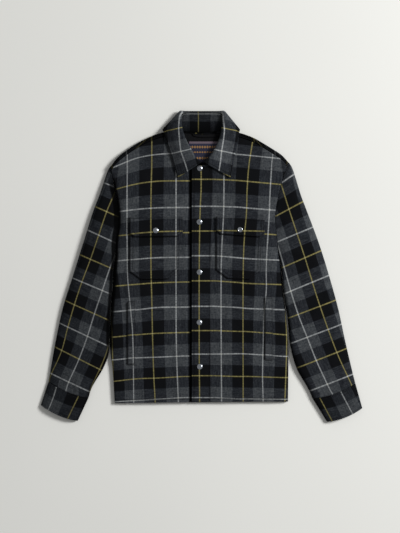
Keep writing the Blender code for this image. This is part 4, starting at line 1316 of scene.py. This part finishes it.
def patch(name, layer, kind):
    look, rows = patches[name], patchRows[kind]
    a, b, c, d = (Vector(corner) * mm for corner in look["corners"])
    width, length = (b - a).length, (d - a).length
    cutX, cutY = (cut * mm for cut in look["cut"])
    weft = rightWeft if a.x < 0 else leftWeft
    near = patchRows["nearWelt"] if kind == "welt" else patchRows["near"]
    grid, uvGrid, paintedShadeGrid = [], [], []
    for t in spread(length, rows["step"], near, near):
        pull = (cutX / width) * (1.0 - t * length / cutY) if cutY and t * length < cutY else 0.0
        line, uvLine, paintedShadeLine = [], [], []
        for share in spread(width, rows["step"], near, near):
            s = mix(pull, 1.0 - pull, share)
            place = patchPoint(look["corners"], s, t)
            inside, fromTop = edgeGap(s, t, width, length, look["cut"])
            groove = max(bump(inside - inset * mm, patchRows["grooveWidth"]) for inset in rows["insets"])
            if kind != "pocket":
                groove = max(groove, bump(fromTop - rows["insets"][0] * mm, patchRows["grooveWidth"]))
            edge = min(inside, fromTop) if kind != "pocket" else inside
            puff = rows["puff"] * smooth(edge, 0.0, 2.0 * mm) * (1.0 if edge < 9 * mm else 0.6)
            z = patchHeight(place.x, place.y) + layer + puff - groove * patchRows["groove"]
            z += flapLift(name, place.x, place.y)
            shadow = s * width if s > 0.5 or kind == "welt" else inside  # painted shadow along the left and lower edges, and on a welt's left edge
            shadow = min(shadow, t * length) if kind != "welt" else shadow
            dark = patchRows["edgeShade"] * (1.0 - smooth(shadow, *patchRows["paintedEdgeShadow"]))
            line.append(Vector((place.x, place.y, z)))
            jump = mix(look["shift"][0], look["shift"][1], s) * mm
            uvLine.append(frontPlaid(place.x, place.y - jump, weft))
            # Painted shade in the stitch grooves and painted shadow along the edges
            paintedShadeLine.append(max(groove, dark))
        grid.append(line)
        uvGrid.append(uvLine)
        paintedShadeGrid.append(paintedShadeLine)
    return clothSheet(name, grid, uvGrid, cloth["pocketWall"], woolPlaid, paintedShadeGrid=paintedShadeGrid)


pocketLayer = cloth["layGap"] + cloth["pocketWall"]
pocketRight = patch("pocketRight", pocketLayer, "pocket")
pocketLeft = patch("pocketLeft", pocketLayer, "pocket")
flapRight = patch("flapRight", 2 * pocketLayer, "flap")
flapLeft = patch("flapLeft", 2 * pocketLayer, "flap")
weltRight = patch("weltRight", pocketLayer + 0.1 * mm, "welt")
weltLeft = patch("weltLeft", pocketLayer + 0.1 * mm, "welt")

print("stage: snaps")

snapFacts = {
    "radius": 7.2 * mm,
    "height": 2.6 * mm,
    "steps": 48,
    "front": ((-5, 256), (-6, 117), (-6, -13), (-6, -143), (-5, -258)),
    "flapRight": (-119, 95),
    "flapLeft": (99, 97),
    "domed": (
        (0.00, 1.00), (0.18, 0.99), (0.36, 0.95), (0.52, 0.88), (0.66, 0.77), (0.77, 0.64), (0.83, 0.52),
        (0.87, 0.44), (0.92, 0.45), (0.97, 0.40), (1.00, 0.26), (0.985, 0.10), (0.94, 0.0), (0.0, 0.0),
    ),
    "ringed": (
        (0.00, 0.34), (0.20, 0.33), (0.38, 0.36), (0.46, 0.48), (0.53, 0.78), (0.62, 0.96), (0.72, 1.00),
        (0.83, 0.90), (0.91, 0.68), (0.97, 0.42), (1.00, 0.24), (0.985, 0.10), (0.94, 0.0), (0.0, 0.0),
    ),
}


def metalMaterial():
    material, add = newMaterial("snapMetal")
    place = add("ShaderNodeTexCoord").outputs["Object"]
    fine = add("ShaderNodeTexNoise", {"Vector": place, "Scale": 900.0, "Detail": 4.0}).outputs["Fac"]
    broad = add("ShaderNodeTexNoise", {"Vector": place, "Scale": 160.0, "Detail": 2.0}).outputs["Fac"]
    tarnish = ramp(add, broad, 0.45, 0.75)
    colour = blend(add, tarnish, (0.46, 0.49, 0.53, 1.0), (0.30, 0.32, 0.35, 1.0))
    roughness = ramp(add, fine, 0.3, 0.7, 0.20, 0.30)
    surface(add, colour, roughness, {"Metallic": 1.0}, fine, 0.12, 0.0002)
    return material


snapMetal = metalMaterial()


def snap(name, place, base, profile):
    work = bmesh.new()
    steps = snapFacts["steps"]
    centre = Vector((place[0] * mm, place[1] * mm, base)) + planShift
    rings = []
    for r, z in profile:
        height = centre.z + z * snapFacts["height"]
        if r == 0.0:
            rings.append([work.verts.new((centre.x, centre.y, height))])
            continue
        ring = []
        reach = r * snapFacts["radius"]
        for k in range(steps):
            turn = 2.0 * math.pi * k / steps
            x, y = centre.x + reach * math.cos(turn), centre.y + reach * math.sin(turn)
            ring.append(work.verts.new((x, y, height)))
        rings.append(ring)
    for upper, lower in zip(rings, rings[1:]):
        for k in range(steps):
            after = (k + 1) % steps
            if len(upper) == 1:
                work.faces.new((upper[0], lower[k], lower[after]))
            elif len(lower) == 1:
                work.faces.new((upper[k], lower[0], upper[after]))
            else:
                work.faces.new((upper[k], lower[k], lower[after], upper[after]))
    mesh = bpy.data.meshes.new(name)
    work.to_mesh(mesh)
    work.free()
    mesh.materials.append(snapMetal)
    mesh.shade_smooth()
    return placeMesh(name, mesh)


snapPieces = {}
for number, (x, y) in enumerate(snapFacts["front"], 1):
    base = leftFrontTop(x * mm, y * mm) + cloth["layGap"] + 0.1 * mm
    snapPieces[f"snap_{number}"] = snap(f"snapFront{number}", (x, y), base, snapFacts["domed"])
for node, name, key, profile in (
    ("flap_snap_right", "snapFlapRight", "flapRight", "domed"),
    ("flap_snap_left", "snapFlapLeft", "flapLeft", "ringed"),
):
    x, y = snapFacts[key]
    base = frontTop(x * mm, y * mm) + 2 * pocketLayer + cloth["layGap"] + 0.6 * mm
    snapPieces[node] = snap(name, (x, y), base, snapFacts[profile])

print("stage: lining, label and hanger loop")

inside = {
    "liningX": (-66 * mm, 64 * mm),
    "liningLowY": 238 * mm,
    "liningTopGap": 1.6 * mm,
    "label": ((-34, 271), (44, 326)),
    "labelWall": 0.8 * mm,
    "loop": ((-24, 347), (-20, 341), (-8, 338), (16, 337), (40, 339), (50, 342), (53, 347)),
    "loopRadius": 1.3 * mm,
}


def liningTop(x, y):
    return backUnder(x, y) + cloth["wall"] + cloth["liningGap"] + cloth["liningWall"]


def liningMaterial():
    material, add = newMaterial("liningTwill")
    place = add("ShaderNodeTexCoord").outputs["Object"]
    split = add("ShaderNodeSeparateXYZ", {0: place})
    diagonal = maths(add, "ADD", split.outputs[0], split.outputs[1])
    wale = maths(add, "SINE", maths(add, "MULTIPLY", diagonal, 2.0 * math.pi / 0.0011))
    fine = add("ShaderNodeTexNoise", {"Vector": place, "Scale": 700.0, "Detail": 2.0}).outputs["Fac"]
    share = ramp(add, maths(add, "ADD", maths(add, "MULTIPLY", wale, 0.3), fine), 0.1, 0.9)
    colour = blend(add, share, (0.0030, 0.0031, 0.0036, 1.0), (0.0064, 0.0066, 0.0076, 1.0))
    surface(add, colour, 0.62, {"Specular IOR Level": 0.05, "Sheen Weight": 0.01}, wale, 0.3, 0.0002)
    return material


labelFacts = {
    "ground": (0.010, 0.012, 0.036, 1.0),
    "border": (0.120, 0.088, 0.110, 1.0),
    "gold": (0.270, 0.145, 0.050, 1.0),
    "borderFrom": 0.90,
}


def labelMaterial():  # a plain damask ground, a border along the top and three rows of small lozenges
    material, add = newMaterial("labelWeave")
    split = add("ShaderNodeSeparateXYZ", {0: add("ShaderNodeUVMap", uv_map="plaid").outputs[0]})
    s, t = split.outputs[0], split.outputs[1]
    border = ramp(add, t, labelFacts["borderFrom"] - 0.01, labelFacts["borderFrom"] + 0.01)
    across = maths(add, "PINGPONG", maths(add, "MULTIPLY", s, 24.0), 1.0)
    gold = None
    for row, tall in ((0.74, 0.070), (0.50, 0.045), (0.22, 0.070)):
        away = maths(add, "ABSOLUTE", maths(add, "SUBTRACT", t, row))
        reach = maths(add, "MULTIPLY", across, tall)
        lozenge = ramp(add, maths(add, "SUBTRACT", reach, away), -0.004, 0.006)
        gold = lozenge if gold is None else maths(add, "MAXIMUM", gold, lozenge)
    inner = ramp(add, maths(add, "ABSOLUTE", maths(add, "SUBTRACT", s, 0.5)), 0.45, 0.44)
    gold = maths(add, "MULTIPLY", gold, inner)
    weftRows = maths(add, "SINE", maths(add, "MULTIPLY", t, 620.0))
    ends = maths(add, "SINE", maths(add, "MULTIPLY", s, 900.0))
    weave = ramp(add, maths(add, "ADD", weftRows, ends), -1.5, 1.5)
    colour = blend(add, gold, labelFacts["ground"], labelFacts["gold"])
    colour = blend(add, border, colour, labelFacts["border"])
    dim = ramp(add, weave, 0.0, 1.0, 0.72, 1.1)
    dimmed = add("ShaderNodeCombineColor", {0: dim, 1: dim, 2: dim}).outputs[0]
    colour = blend(add, 1.0, colour, dimmed, "MULTIPLY")
    height = maths(add, "ADD", maths(add, "MULTIPLY", weave, 0.4), gold)
    surface(add, colour, 0.55, {"Specular IOR Level": 0.3, "Sheen Weight": 0.1}, height, 0.5, 0.0002)
    return material


def tapeMaterial():
    material, add = newMaterial("blackCord")
    split = add("ShaderNodeSeparateXYZ", {0: add("ShaderNodeUVMap", uv_map="plaid").outputs[0]})
    around = maths(add, "MULTIPLY", split.outputs[0], 12.57)
    along = maths(add, "MULTIPLY", split.outputs[1], 300.0)
    left = maths(add, "SINE", maths(add, "ADD", along, around))
    right = maths(add, "SINE", maths(add, "SUBTRACT", along, around))
    plait = maths(add, "MAXIMUM", left, right)
    share = ramp(add, plait, -0.5, 1.0)
    colour = blend(add, share, (0.0015, 0.0015, 0.002, 1.0), (0.005, 0.005, 0.006, 1.0))
    surface(add, colour, 0.8, {"Specular IOR Level": 0.05}, plait, 0.6, 0.0003)
    return material


def neckLiningPiece():
    low, high = inside["liningX"]
    rows, columns = 40, 46
    grid, uvGrid = [], []
    for j in range(rows + 1):
        line, uvLine = [], []
        for k in range(columns + 1):
            x = mix(low, high, k / columns)
            y = mix(inside["liningLowY"], topLine.at(x).y - inside["liningTopGap"], j / rows)
            line.append(Vector((x, y, liningTop(x, y))))
            uvLine.append((x, y))
        grid.append(line)
        uvGrid.append(uvLine)
    return clothSheet("neckLining", grid, uvGrid, cloth["liningWall"], liningMaterial())


def neckLabelPiece():
    (x0, y0), (x1, y1) = inside["label"]
    wall = inside["labelWall"]
    grid, uvGrid = [], []
    for j in range(25):
        line, uvLine = [], []
        for k in range(31):
            x, y = mix(x0, x1, k / 30) * mm, mix(y0, y1, j / 24) * mm
            z = liningTop(x, y) + cloth["liningGap"] + wall
            z += 0.25 * mm * math.sin(3.1 * k / 30) * math.sin(2.2 + 4.0 * j / 24)
            line.append(Vector((x, y, z)))
            uvLine.append((k / 30, j / 24))
        grid.append(line)
        uvGrid.append(uvLine)
    return clothSheet("neckLabel", grid, uvGrid, wall, labelMaterial())


def hangerLoopPiece():
    points = Route(inside["loop"]).samples(60)
    radius = inside["loopRadius"]
    line = [Vector((p.x, p.y, liningTop(p.x, p.y) + cloth["layGap"] + radius)) for p in points]
    sides = 12
    verts, faces, uvs = [], [], []
    gone = 0.0
    for k, p in enumerate(line):
        ahead = line[min(k + 1, len(line) - 1)] - line[max(k - 1, 0)]
        ahead.normalize()
        side = ahead.cross(Vector((0, 0, 1))).normalized()
        up = side.cross(ahead)
        gone += (p - line[max(k - 1, 0)]).length
        for n in range(sides):
            turn = 2.0 * math.pi * n / sides
            verts.append(tuple(p + planShift + (side * math.cos(turn) + up * math.sin(turn)) * radius))
        if k:
            for n in range(sides):
                after = (n + 1) % sides
                a, b = (k - 1) * sides, k * sides
                faces.append((a + n, b + n, b + after, a + after))
                s0, s1 = n / sides, (n + 1) / sides
                g0 = (gone - (p - line[k - 1]).length) * 10.0
                uvs += [(s0, g0), (s0, gone * 10.0), (s1, gone * 10.0), (s1, g0)]
    faces.append(tuple(range(sides)))
    faces.append(tuple(reversed(range((len(line) - 1) * sides, len(line) * sides))))
    uvs += [(0.0, 0.0)] * (2 * sides)
    mesh = uvMesh("hangerLoop", verts, faces, uvs, tapeMaterial())
    work = bmesh.new()
    work.from_mesh(mesh)
    bmesh.ops.recalc_face_normals(work, faces=work.faces)
    work.to_mesh(mesh)
    work.free()
    return placeMesh("hangerLoop", mesh)


neckLining = neckLiningPiece()
neckLabel = neckLabelPiece()
hangerLoop = hangerLoopPiece()

print("stage: stitches")

thread = {
    "pitch": 3.3 * mm,
    "length": 2.5 * mm,
    "width": 0.50 * mm,
    "thickness": 0.36 * mm,
    "tackPitch": 1.9 * mm,
    "seed": 7,
}


def threadMaterial():
    material, add = newMaterial("darkThread")
    place = add("ShaderNodeTexCoord").outputs["Object"]
    fine = add("ShaderNodeTexNoise", {"Vector": place, "Scale": 2400.0, "Detail": 2.0}).outputs["Fac"]
    colour = blend(add, fine, (0.006, 0.006, 0.008, 1.0), (0.022, 0.022, 0.026, 1.0))
    surface(add, colour, 0.6, {"Specular IOR Level": 0.2}, fine, 0.3, 0.0001)
    return material


def stitchTree():
    # Small rounded stitches set along every line of the input mesh
    tree = bpy.data.node_groups.new("stitchRows", "GeometryNodeTree")
    sockets = {}
    tree.interface.new_socket("Geometry", in_out="INPUT", socket_type="NodeSocketGeometry")
    for name, kind in (
        ("Pitch", "Float"), ("Stitch length", "Float"), ("Stitch width", "Float"),
        ("Stitch thickness", "Float"), ("Seed", "Int"), ("Thread", "Material"),
    ):
        socket = tree.interface.new_socket(name, in_out="INPUT", socket_type="NodeSocket" + kind)
        sockets[name] = socket.identifier
    tree.interface.new_socket("Geometry", in_out="OUTPUT", socket_type="NodeSocketGeometry")

    def add(kind, **settings):
        node = tree.nodes.new(kind)
        for key, value in settings.items():
            setattr(node, key, value)
        return node

    link = tree.links.new
    given = add("NodeGroupInput")
    line = add("GeometryNodeMeshToCurve")
    spaced = add("GeometryNodeResampleCurve", mode="LENGTH")
    shape = add("GeometryNodeMeshUVSphere")
    shape.inputs["Segments"].default_value = 6
    shape.inputs["Rings"].default_value = 4
    shape.inputs["Radius"].default_value = 0.5
    size = add("ShaderNodeCombineXYZ")
    uneven = add("FunctionNodeRandomValue", data_type="FLOAT")
    uneven.inputs[2].default_value = 0.90
    uneven.inputs[3].default_value = 1.10
    scaled = add("ShaderNodeVectorMath", operation="SCALE")
    tangent = add("GeometryNodeInputTangent")
    aim = add("FunctionNodeAlignRotationToVector", axis="X")
    placed = add("GeometryNodeInstanceOnPoints")
    real = add("GeometryNodeRealizeInstances")
    finish = add("GeometryNodeSetMaterial")
    out = add("NodeGroupOutput")
    link(given.outputs["Geometry"], line.inputs[0])
    link(line.outputs[0], spaced.inputs["Curve"])
    link(given.outputs["Pitch"], spaced.inputs["Length"])
    link(given.outputs["Stitch length"], size.inputs[0])
    link(given.outputs["Stitch width"], size.inputs[1])
    link(given.outputs["Stitch thickness"], size.inputs[2])
    link(given.outputs["Seed"], uneven.inputs["Seed"])
    link(size.outputs[0], scaled.inputs[0])
    link(uneven.outputs[1], scaled.inputs["Scale"])
    link(tangent.outputs[0], aim.inputs["Vector"])
    link(spaced.outputs[0], placed.inputs["Points"])
    link(shape.outputs[0], placed.inputs["Instance"])
    link(aim.outputs[0], placed.inputs["Rotation"])
    link(scaled.outputs[0], placed.inputs["Scale"])
    link(placed.outputs[0], real.inputs[0])
    link(real.outputs[0], finish.inputs["Geometry"])
    link(given.outputs["Thread"], finish.inputs["Material"])
    link(finish.outputs[0], out.inputs[0])
    return tree, sockets


stitchRows, stitchSockets = stitchTree()
darkThread = threadMaterial()


def stitchPiece(name, paths, pitch=thread["pitch"]):
    verts, edges = [], []
    for path in paths:
        first = len(verts)
        verts += [tuple(p + planShift) for p in path]
        edges += [(first + k, first + k + 1) for k in range(len(path) - 1)]
    guide = bpy.data.meshes.new(name + "Guide")
    guide.from_pydata(verts, edges, [])
    made = placeMesh(name, guide)
    rows = made.modifiers.new("rows", "NODES")
    rows.node_group = stitchRows
    for key, value in (
        ("Pitch", pitch), ("Stitch length", thread["length"]), ("Stitch width", thread["width"]),
        ("Stitch thickness", thread["thickness"]), ("Seed", thread["seed"]), ("Thread", darkThread),
    ):
        rows[stitchSockets[key]] = value
    graph = bpy.context.evaluated_depsgraph_get()
    result = bpy.data.meshes.new_from_object(made.evaluated_get(graph), depsgraph=graph)
    made.modifiers.clear()
    made.data = result
    bpy.data.meshes.remove(guide)
    result.name = name
    result.shade_smooth()
    return made


def straight(a, b, step=4 * mm):
    count = max(2, round((b - a).length / step))
    return [a.lerp(b, k / count) for k in range(count + 1)]


def inset(outline, distance, closed):
    # The line inside a plan outline that turns to the left, at one distance from it
    count = len(outline)
    pairs = [(outline[k], outline[(k + 1) % count]) for k in range(count if closed else count - 1)]
    moved = []
    for a, b in pairs:
        way = (b - a).normalized()
        normal = Vector((-way.y, way.x))
        moved.append((a + normal * distance, way))
    corners = []
    for k, (a, way) in enumerate(moved):
        if k == 0 and not closed:
            corners.append(a)
            continue
        c, other = moved[k - 1]
        turn = other.x * way.y - other.y * way.x
        share = ((a.x - c.x) * way.y - (a.y - c.y) * way.x) / turn
        corners.append(c + other * share)
    if closed:
        corners.append(corners[0].copy())
    else:
        b = pairs[-1][1]
        way = moved[-1][1]
        corners.append(b + Vector((-way.y, way.x)) * distance)
    line = []
    for a, b in zip(corners, corners[1:]):
        line += straight(a, b)[:-1]
    return line + [corners[-1]]


def patchOutline(name, closed):
    look = patches[name]
    a, b, c, d = (Vector(corner) * mm for corner in look["corners"])
    if not look["cut"][0]:
        return [a, b, c, d]
    cutX, cutY = (cut * mm for cut in look["cut"])
    width, length = (b - a).length, (d - a).length
    lowLeft = patchPoint(look["corners"], 0.0, cutY / length)
    lowRight = patchPoint(look["corners"], 1.0, cutY / length)
    bottomLeft = patchPoint(look["corners"], cutX / width, 0.0)
    bottomRight = patchPoint(look["corners"], 1.0 - cutX / width, 0.0)
    return [d, lowLeft, bottomLeft, bottomRight, lowRight, c]


def onPatch(name, line, layer, puff):
    lift = layer + puff - patchRows["groove"] + 0.5 * thread["thickness"] - 0.05 * mm
    return [Vector((p.x, p.y, patchHeight(p.x, p.y) + flapLift(name, p.x, p.y) + lift)) for p in line]


def onFront(line, height, drop=front["grooveDepth"]):
    lift = 0.5 * thread["thickness"] - drop + 0.05 * mm
    return [Vector((p.x, p.y, height(p.x, p.y) + lift)) for p in line]


def seamRows():
    rows = {"fronts": [], "pockets": [], "back": [], "tacks": []}
    hem = front["hemStitch"]
    for inwards in (front["lapStitch"], front["placketStitch"]):
        x = body["lapEdgeX"] + inwards
        ends = Vector((x, body["hemY"] + hem)), Vector((x, 258 * mm))
        rows["fronts"].append(onFront(straight(*ends), leftFrontTop))
    for side, centreX, height, sign in (
        (rightSide, body["lapEdgeX"] - 1.5 * mm, rightFrontTop, 1.0),
        (leftSide, body["lapEdgeX"], leftFrontTop, -1.0),
    ):
        outer = side.at(-1.0)
        a = Vector((outer.x + sign * 3 * mm, outer.y + hem))
        b = Vector((centreX - sign * 2 * mm, body["hemY"] + hem))
        rows["fronts"].append(onFront(straight(a, b), height))
    for side, height, sign, top in (
        (rightSide, rightFrontTop, 1.0, 246), (leftSide, leftFrontTop, -1.0, 256),
    ):
        line = []
        for k in range(56):
            y = mix(40, top, k / 55) * mm
            line.append(Vector((side.at(y).x + sign * 6 * mm, y)))
        rows["fronts"].append(onFront(line, height, 0.12 * mm))
    for name in ("pocketRight", "pocketLeft"):
        for distance in patchRows["pocket"]["insets"]:
            line = inset(patchOutline(name, False), distance * mm, False)
            rows["pockets"].append(onPatch(name, line, pocketLayer, patchRows["pocket"]["puff"]))
    for name in ("flapRight", "flapLeft"):
        for distance, closed in zip(patchRows["flap"]["insets"], (True, False)):
            line = inset(patchOutline(name, closed), distance * mm, closed)
            rows["pockets"].append(onPatch(name, line, 2 * pocketLayer, patchRows["flap"]["puff"]))
    for name in ("weltRight", "weltLeft"):
        line = inset(patchOutline(name, True), patchRows["welt"]["insets"][0] * mm, True)
        rows["pockets"].append(onPatch(name, line, pocketLayer, patchRows["welt"]["puff"]))
        (x0, y0), (x1, _), (_, y1), _ = patches[name]["corners"]
        for y in (y0 - 3.0, y1 + 1.0):
            zigzag = []
            for k in range(25):
                up = 2.2 if k % 2 else 0.0
                zigzag.append(Vector((mix(x0, x1, k / 24) * mm, (y + up) * mm)))
            rows["tacks"].append(onFront(zigzag, patchHeight, 0.0))
    z = body["shoulderHeight"] + 0.5 * thread["thickness"] - 0.08 * mm
    for low, high in ((-228, -84), (82, 218)):
        line = []
        for k in range(45):
            x = mix(low, high, k / 44) * mm
            line.append(Vector((x, topLine.at(x).y - back["shoulderStitch"], z)))
        rows["back"].append(line)
    line = []
    for k in range(110):
        x = mix(-221, 219, k / 109) * mm
        y = mix(rightSide.at(-1.0).y, leftSide.at(-1.0).y, k / 109) + hem
        line.append(Vector((x, y, backUnder(x, y) + 0.5 * thread["thickness"])))
    rows["back"].append(line)
    return rows


def collarStitchRow():
    lines = []
    begin = collar["firstStitch"]
    for onRight in (True, False):
        line = []
        for n in range(70):
            fromPoint = mix(begin, collar["stitchEnd"], n / 69)
            place = fromPoint if onRight else lastCollarRow - fromPoint
            seam, crest, edge, out, backWay, centre = collarSection(place)
            outside = centre + out * collar["fold"] * 0.5
            length = (edge - outside).length
            p = outside.lerp(edge, 1.0 - collar["stitchInset"] / length)
            p.z = max(p.z, frontTop(p.x, p.y) + 0.5 * cloth["wall"] + cloth["liningGap"])
            p.z += 0.5 * cloth["wall"] - 0.15 * mm + 0.5 * thread["thickness"]
            p.z += leafLift(1.0 - collar["stitchInset"] / length, fromPoint)
            line.append(p)
        first = line[0]
        seam, crest, edge = collarSection(begin if onRight else lastCollarRow - begin)[:3]
        near = crest.lerp(edge, 0.12)
        near.z = first.z + 0.5 * mm
        cross = []
        for p in straight(near, first, 3 * mm):
            p.z = max(p.z, frontTop(p.x, p.y) + cloth["wall"] + cloth["liningGap"])
            share = (p - near).length / (edge - crest).length + 0.12
            p.z += 0.1 * mm + leafLift(share, begin)
            cross.append(p)
        lines.append(cross + line[1:])
    return lines


def cuffStitchRows(key):
    run = cuffRun(key)
    length = run[3]
    lines = []
    for t in (sleeves["cuffSeamStitch"] / length, 1.0 - sleeves["cuffEndStitch"] / length):
        o, i = cuffFolds(run, t)
        end = 4 * mm / (i - o).length
        line = [cuffPoint(run, t, mix(end, 1.0 - end, k / 40), True, 1.0) for k in range(41)]
        for p in line:
            p.z += 0.5 * thread["thickness"]
        lines.append(line)
    return lines


rows = seamRows()
rows["collar"] = collarStitchRow()
rows["cuffs"] = cuffStitchRows("right") + cuffStitchRows("left")
stitchPieces = [
    stitchPiece("stitches" + key.capitalize(), rows[key])
    for key in ("fronts", "pockets", "collar", "cuffs", "back")
]
stitchPieces.append(stitchPiece("pocketTacks", rows["tacks"], thread["tackPitch"]))

print("stage: what stands for what")

# Piece, solid, slot, width and length of the cut in metres, its area in square metres, how it is held,
# and what it rests on
cuts = (
    (backPiece, "back", "wool_plaid", 0.470, 0.730, 0.309, "laid", ["floor"]),
    (frontRight, "front_right", "wool_plaid", 0.250, 0.700, 0.153, "laid", ["backPanel"]),
    (frontLeft, "front_left", "wool_plaid", 0.270, 0.700, 0.155, "laid", ["backPanel"]),
    (sleeveRight, "sleeve_right", "wool_plaid", 0.286, 0.598, 0.119, "laid", ["floor"]),
    (sleeveLeft, "sleeve_left", "wool_plaid", 0.291, 0.611, 0.135, "laid", ["floor"]),
    (cuffRight, "cuff_right", "wool_plaid", 0.232, 0.063, None, "laid", ["floor"]),
    (cuffLeft, "cuff_left", "wool_plaid", 0.240, 0.063, None, "laid", ["floor"]),
    (collarStand, "collar_stand", "wool_plaid", 0.360, 0.052, 0.0095, "folded", ["backPanel"]),
    (collarFall, "collar", "wool_plaid", 0.490, 0.084, 0.0311, "folded", ["frontRight", "frontLeft"]),
    (pocketRight, "pocket_right", "wool_plaid", 0.131, 0.158, 0.0199, "laid", ["frontRight"]),
    (pocketLeft, "pocket_left", "wool_plaid", 0.118, 0.156, 0.0176, "laid", ["frontLeft"]),
    (flapRight, "flap_right", "wool_plaid", 0.138, 0.051, None, "laid", ["pocketRight"]),
    (flapLeft, "flap_left", "wool_plaid", 0.126, 0.045, None, "laid", ["pocketLeft"]),
    (weltRight, "welt_right", "wool_plaid", 0.021, 0.161, None, "laid", ["frontRight"]),
    (weltLeft, "welt_left", "wool_plaid", 0.021, 0.161, None, "laid", ["frontLeft"]),
    (neckLining, "neck_lining", "lining_black", 0.130, 0.109, 0.0137, "laid", ["backPanel"]),
    (neckLabel, "neck_label", "label_weave", 0.078, 0.055, None, "laid", ["neckLining"]),
)
for piece, node, slot, width, length, area, held, under in cuts:
    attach(piece, "root")
    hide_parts(node)
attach(hangerLoop, "root")
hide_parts("hanger_loop")
for node, piece in snapPieces.items():
    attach(piece, "root")
    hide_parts(node)
for piece in stitchPieces:
    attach(piece, "root")

print("stage: floor, light and camera")

studio = {
    "photoCentre": (-4.05 * mm, -0.86 * mm),
    "photoTall": 1385.8 * mm,
    "cameraHeight": 5.0,
    "sensor": 24.0,
    "floorDrop": 0.4 * mm,
    "floorHalf": 6.0,
    "floorColour": (0.79, 0.79, 0.755, 1.0),
    "keyPlace": (4.3, 1.55, 3.5),
    "keyPower": 352.0,
    "keySize": 1.6,
    "sky": 0.29,
}


def floorMaterial():
    material, add = newMaterial("paleFloor")
    place = add("ShaderNodeTexCoord").outputs["Object"]
    cloud = add("ShaderNodeTexNoise", {"Vector": place, "Scale": 1.2, "Detail": 1.0}).outputs["Fac"]
    colour = blend(add, ramp(add, cloud, 0.3, 0.7), studio["floorColour"], (0.805, 0.805, 0.77, 1.0))
    surface(add, colour, 0.9, {"Specular IOR Level": 0.1})
    return material


half = studio["floorHalf"]
floorMesh = bpy.data.meshes.new("floor")
corners = [(-half, -half), (half, -half), (half, half), (-half, half)]
floorMesh.from_pydata([(x, y, -studio["floorDrop"]) for x, y in corners], [], [(0, 1, 2, 3)])
floorMesh.materials.append(floorMaterial())
floor = bpy.data.objects.new("floor", floorMesh)
bpy.context.scene.collection.objects.link(floor)

keyLamp = bpy.data.lights.new("softbox", "AREA")
keyLamp.shape = "SQUARE"
keyLamp.size = studio["keySize"]
keyLamp.energy = studio["keyPower"]
keyLight = bpy.data.objects.new("softbox", keyLamp)
keyLight.location = studio["keyPlace"]
keyLight.rotation_euler = (-Vector(studio["keyPlace"])).to_track_quat("-Z", "Y").to_euler()
bpy.context.scene.collection.objects.link(keyLight)

world = bpy.data.worlds.new("studioAir")
world.use_nodes = True
world.node_tree.nodes["Background"].inputs[0].default_value = (1.0, 1.0, 1.0, 1.0)
world.node_tree.nodes["Background"].inputs[1].default_value = studio["sky"]
bpy.context.scene.world = world
bpy.context.scene.view_settings.view_transform = "Standard"

eye = bpy.data.cameras.new("eye")
eye.sensor_fit = "VERTICAL"
eye.sensor_height = studio["sensor"]
eye.lens = studio["sensor"] * studio["cameraHeight"] / studio["photoTall"]
eye.clip_end = 30.0
eyeObject = bpy.data.objects.new("eye", eye)
eyeObject.location = (*studio["photoCentre"], studio["cameraHeight"])
bpy.context.scene.collection.objects.link(eyeObject)
bpy.context.scene.camera = eyeObject
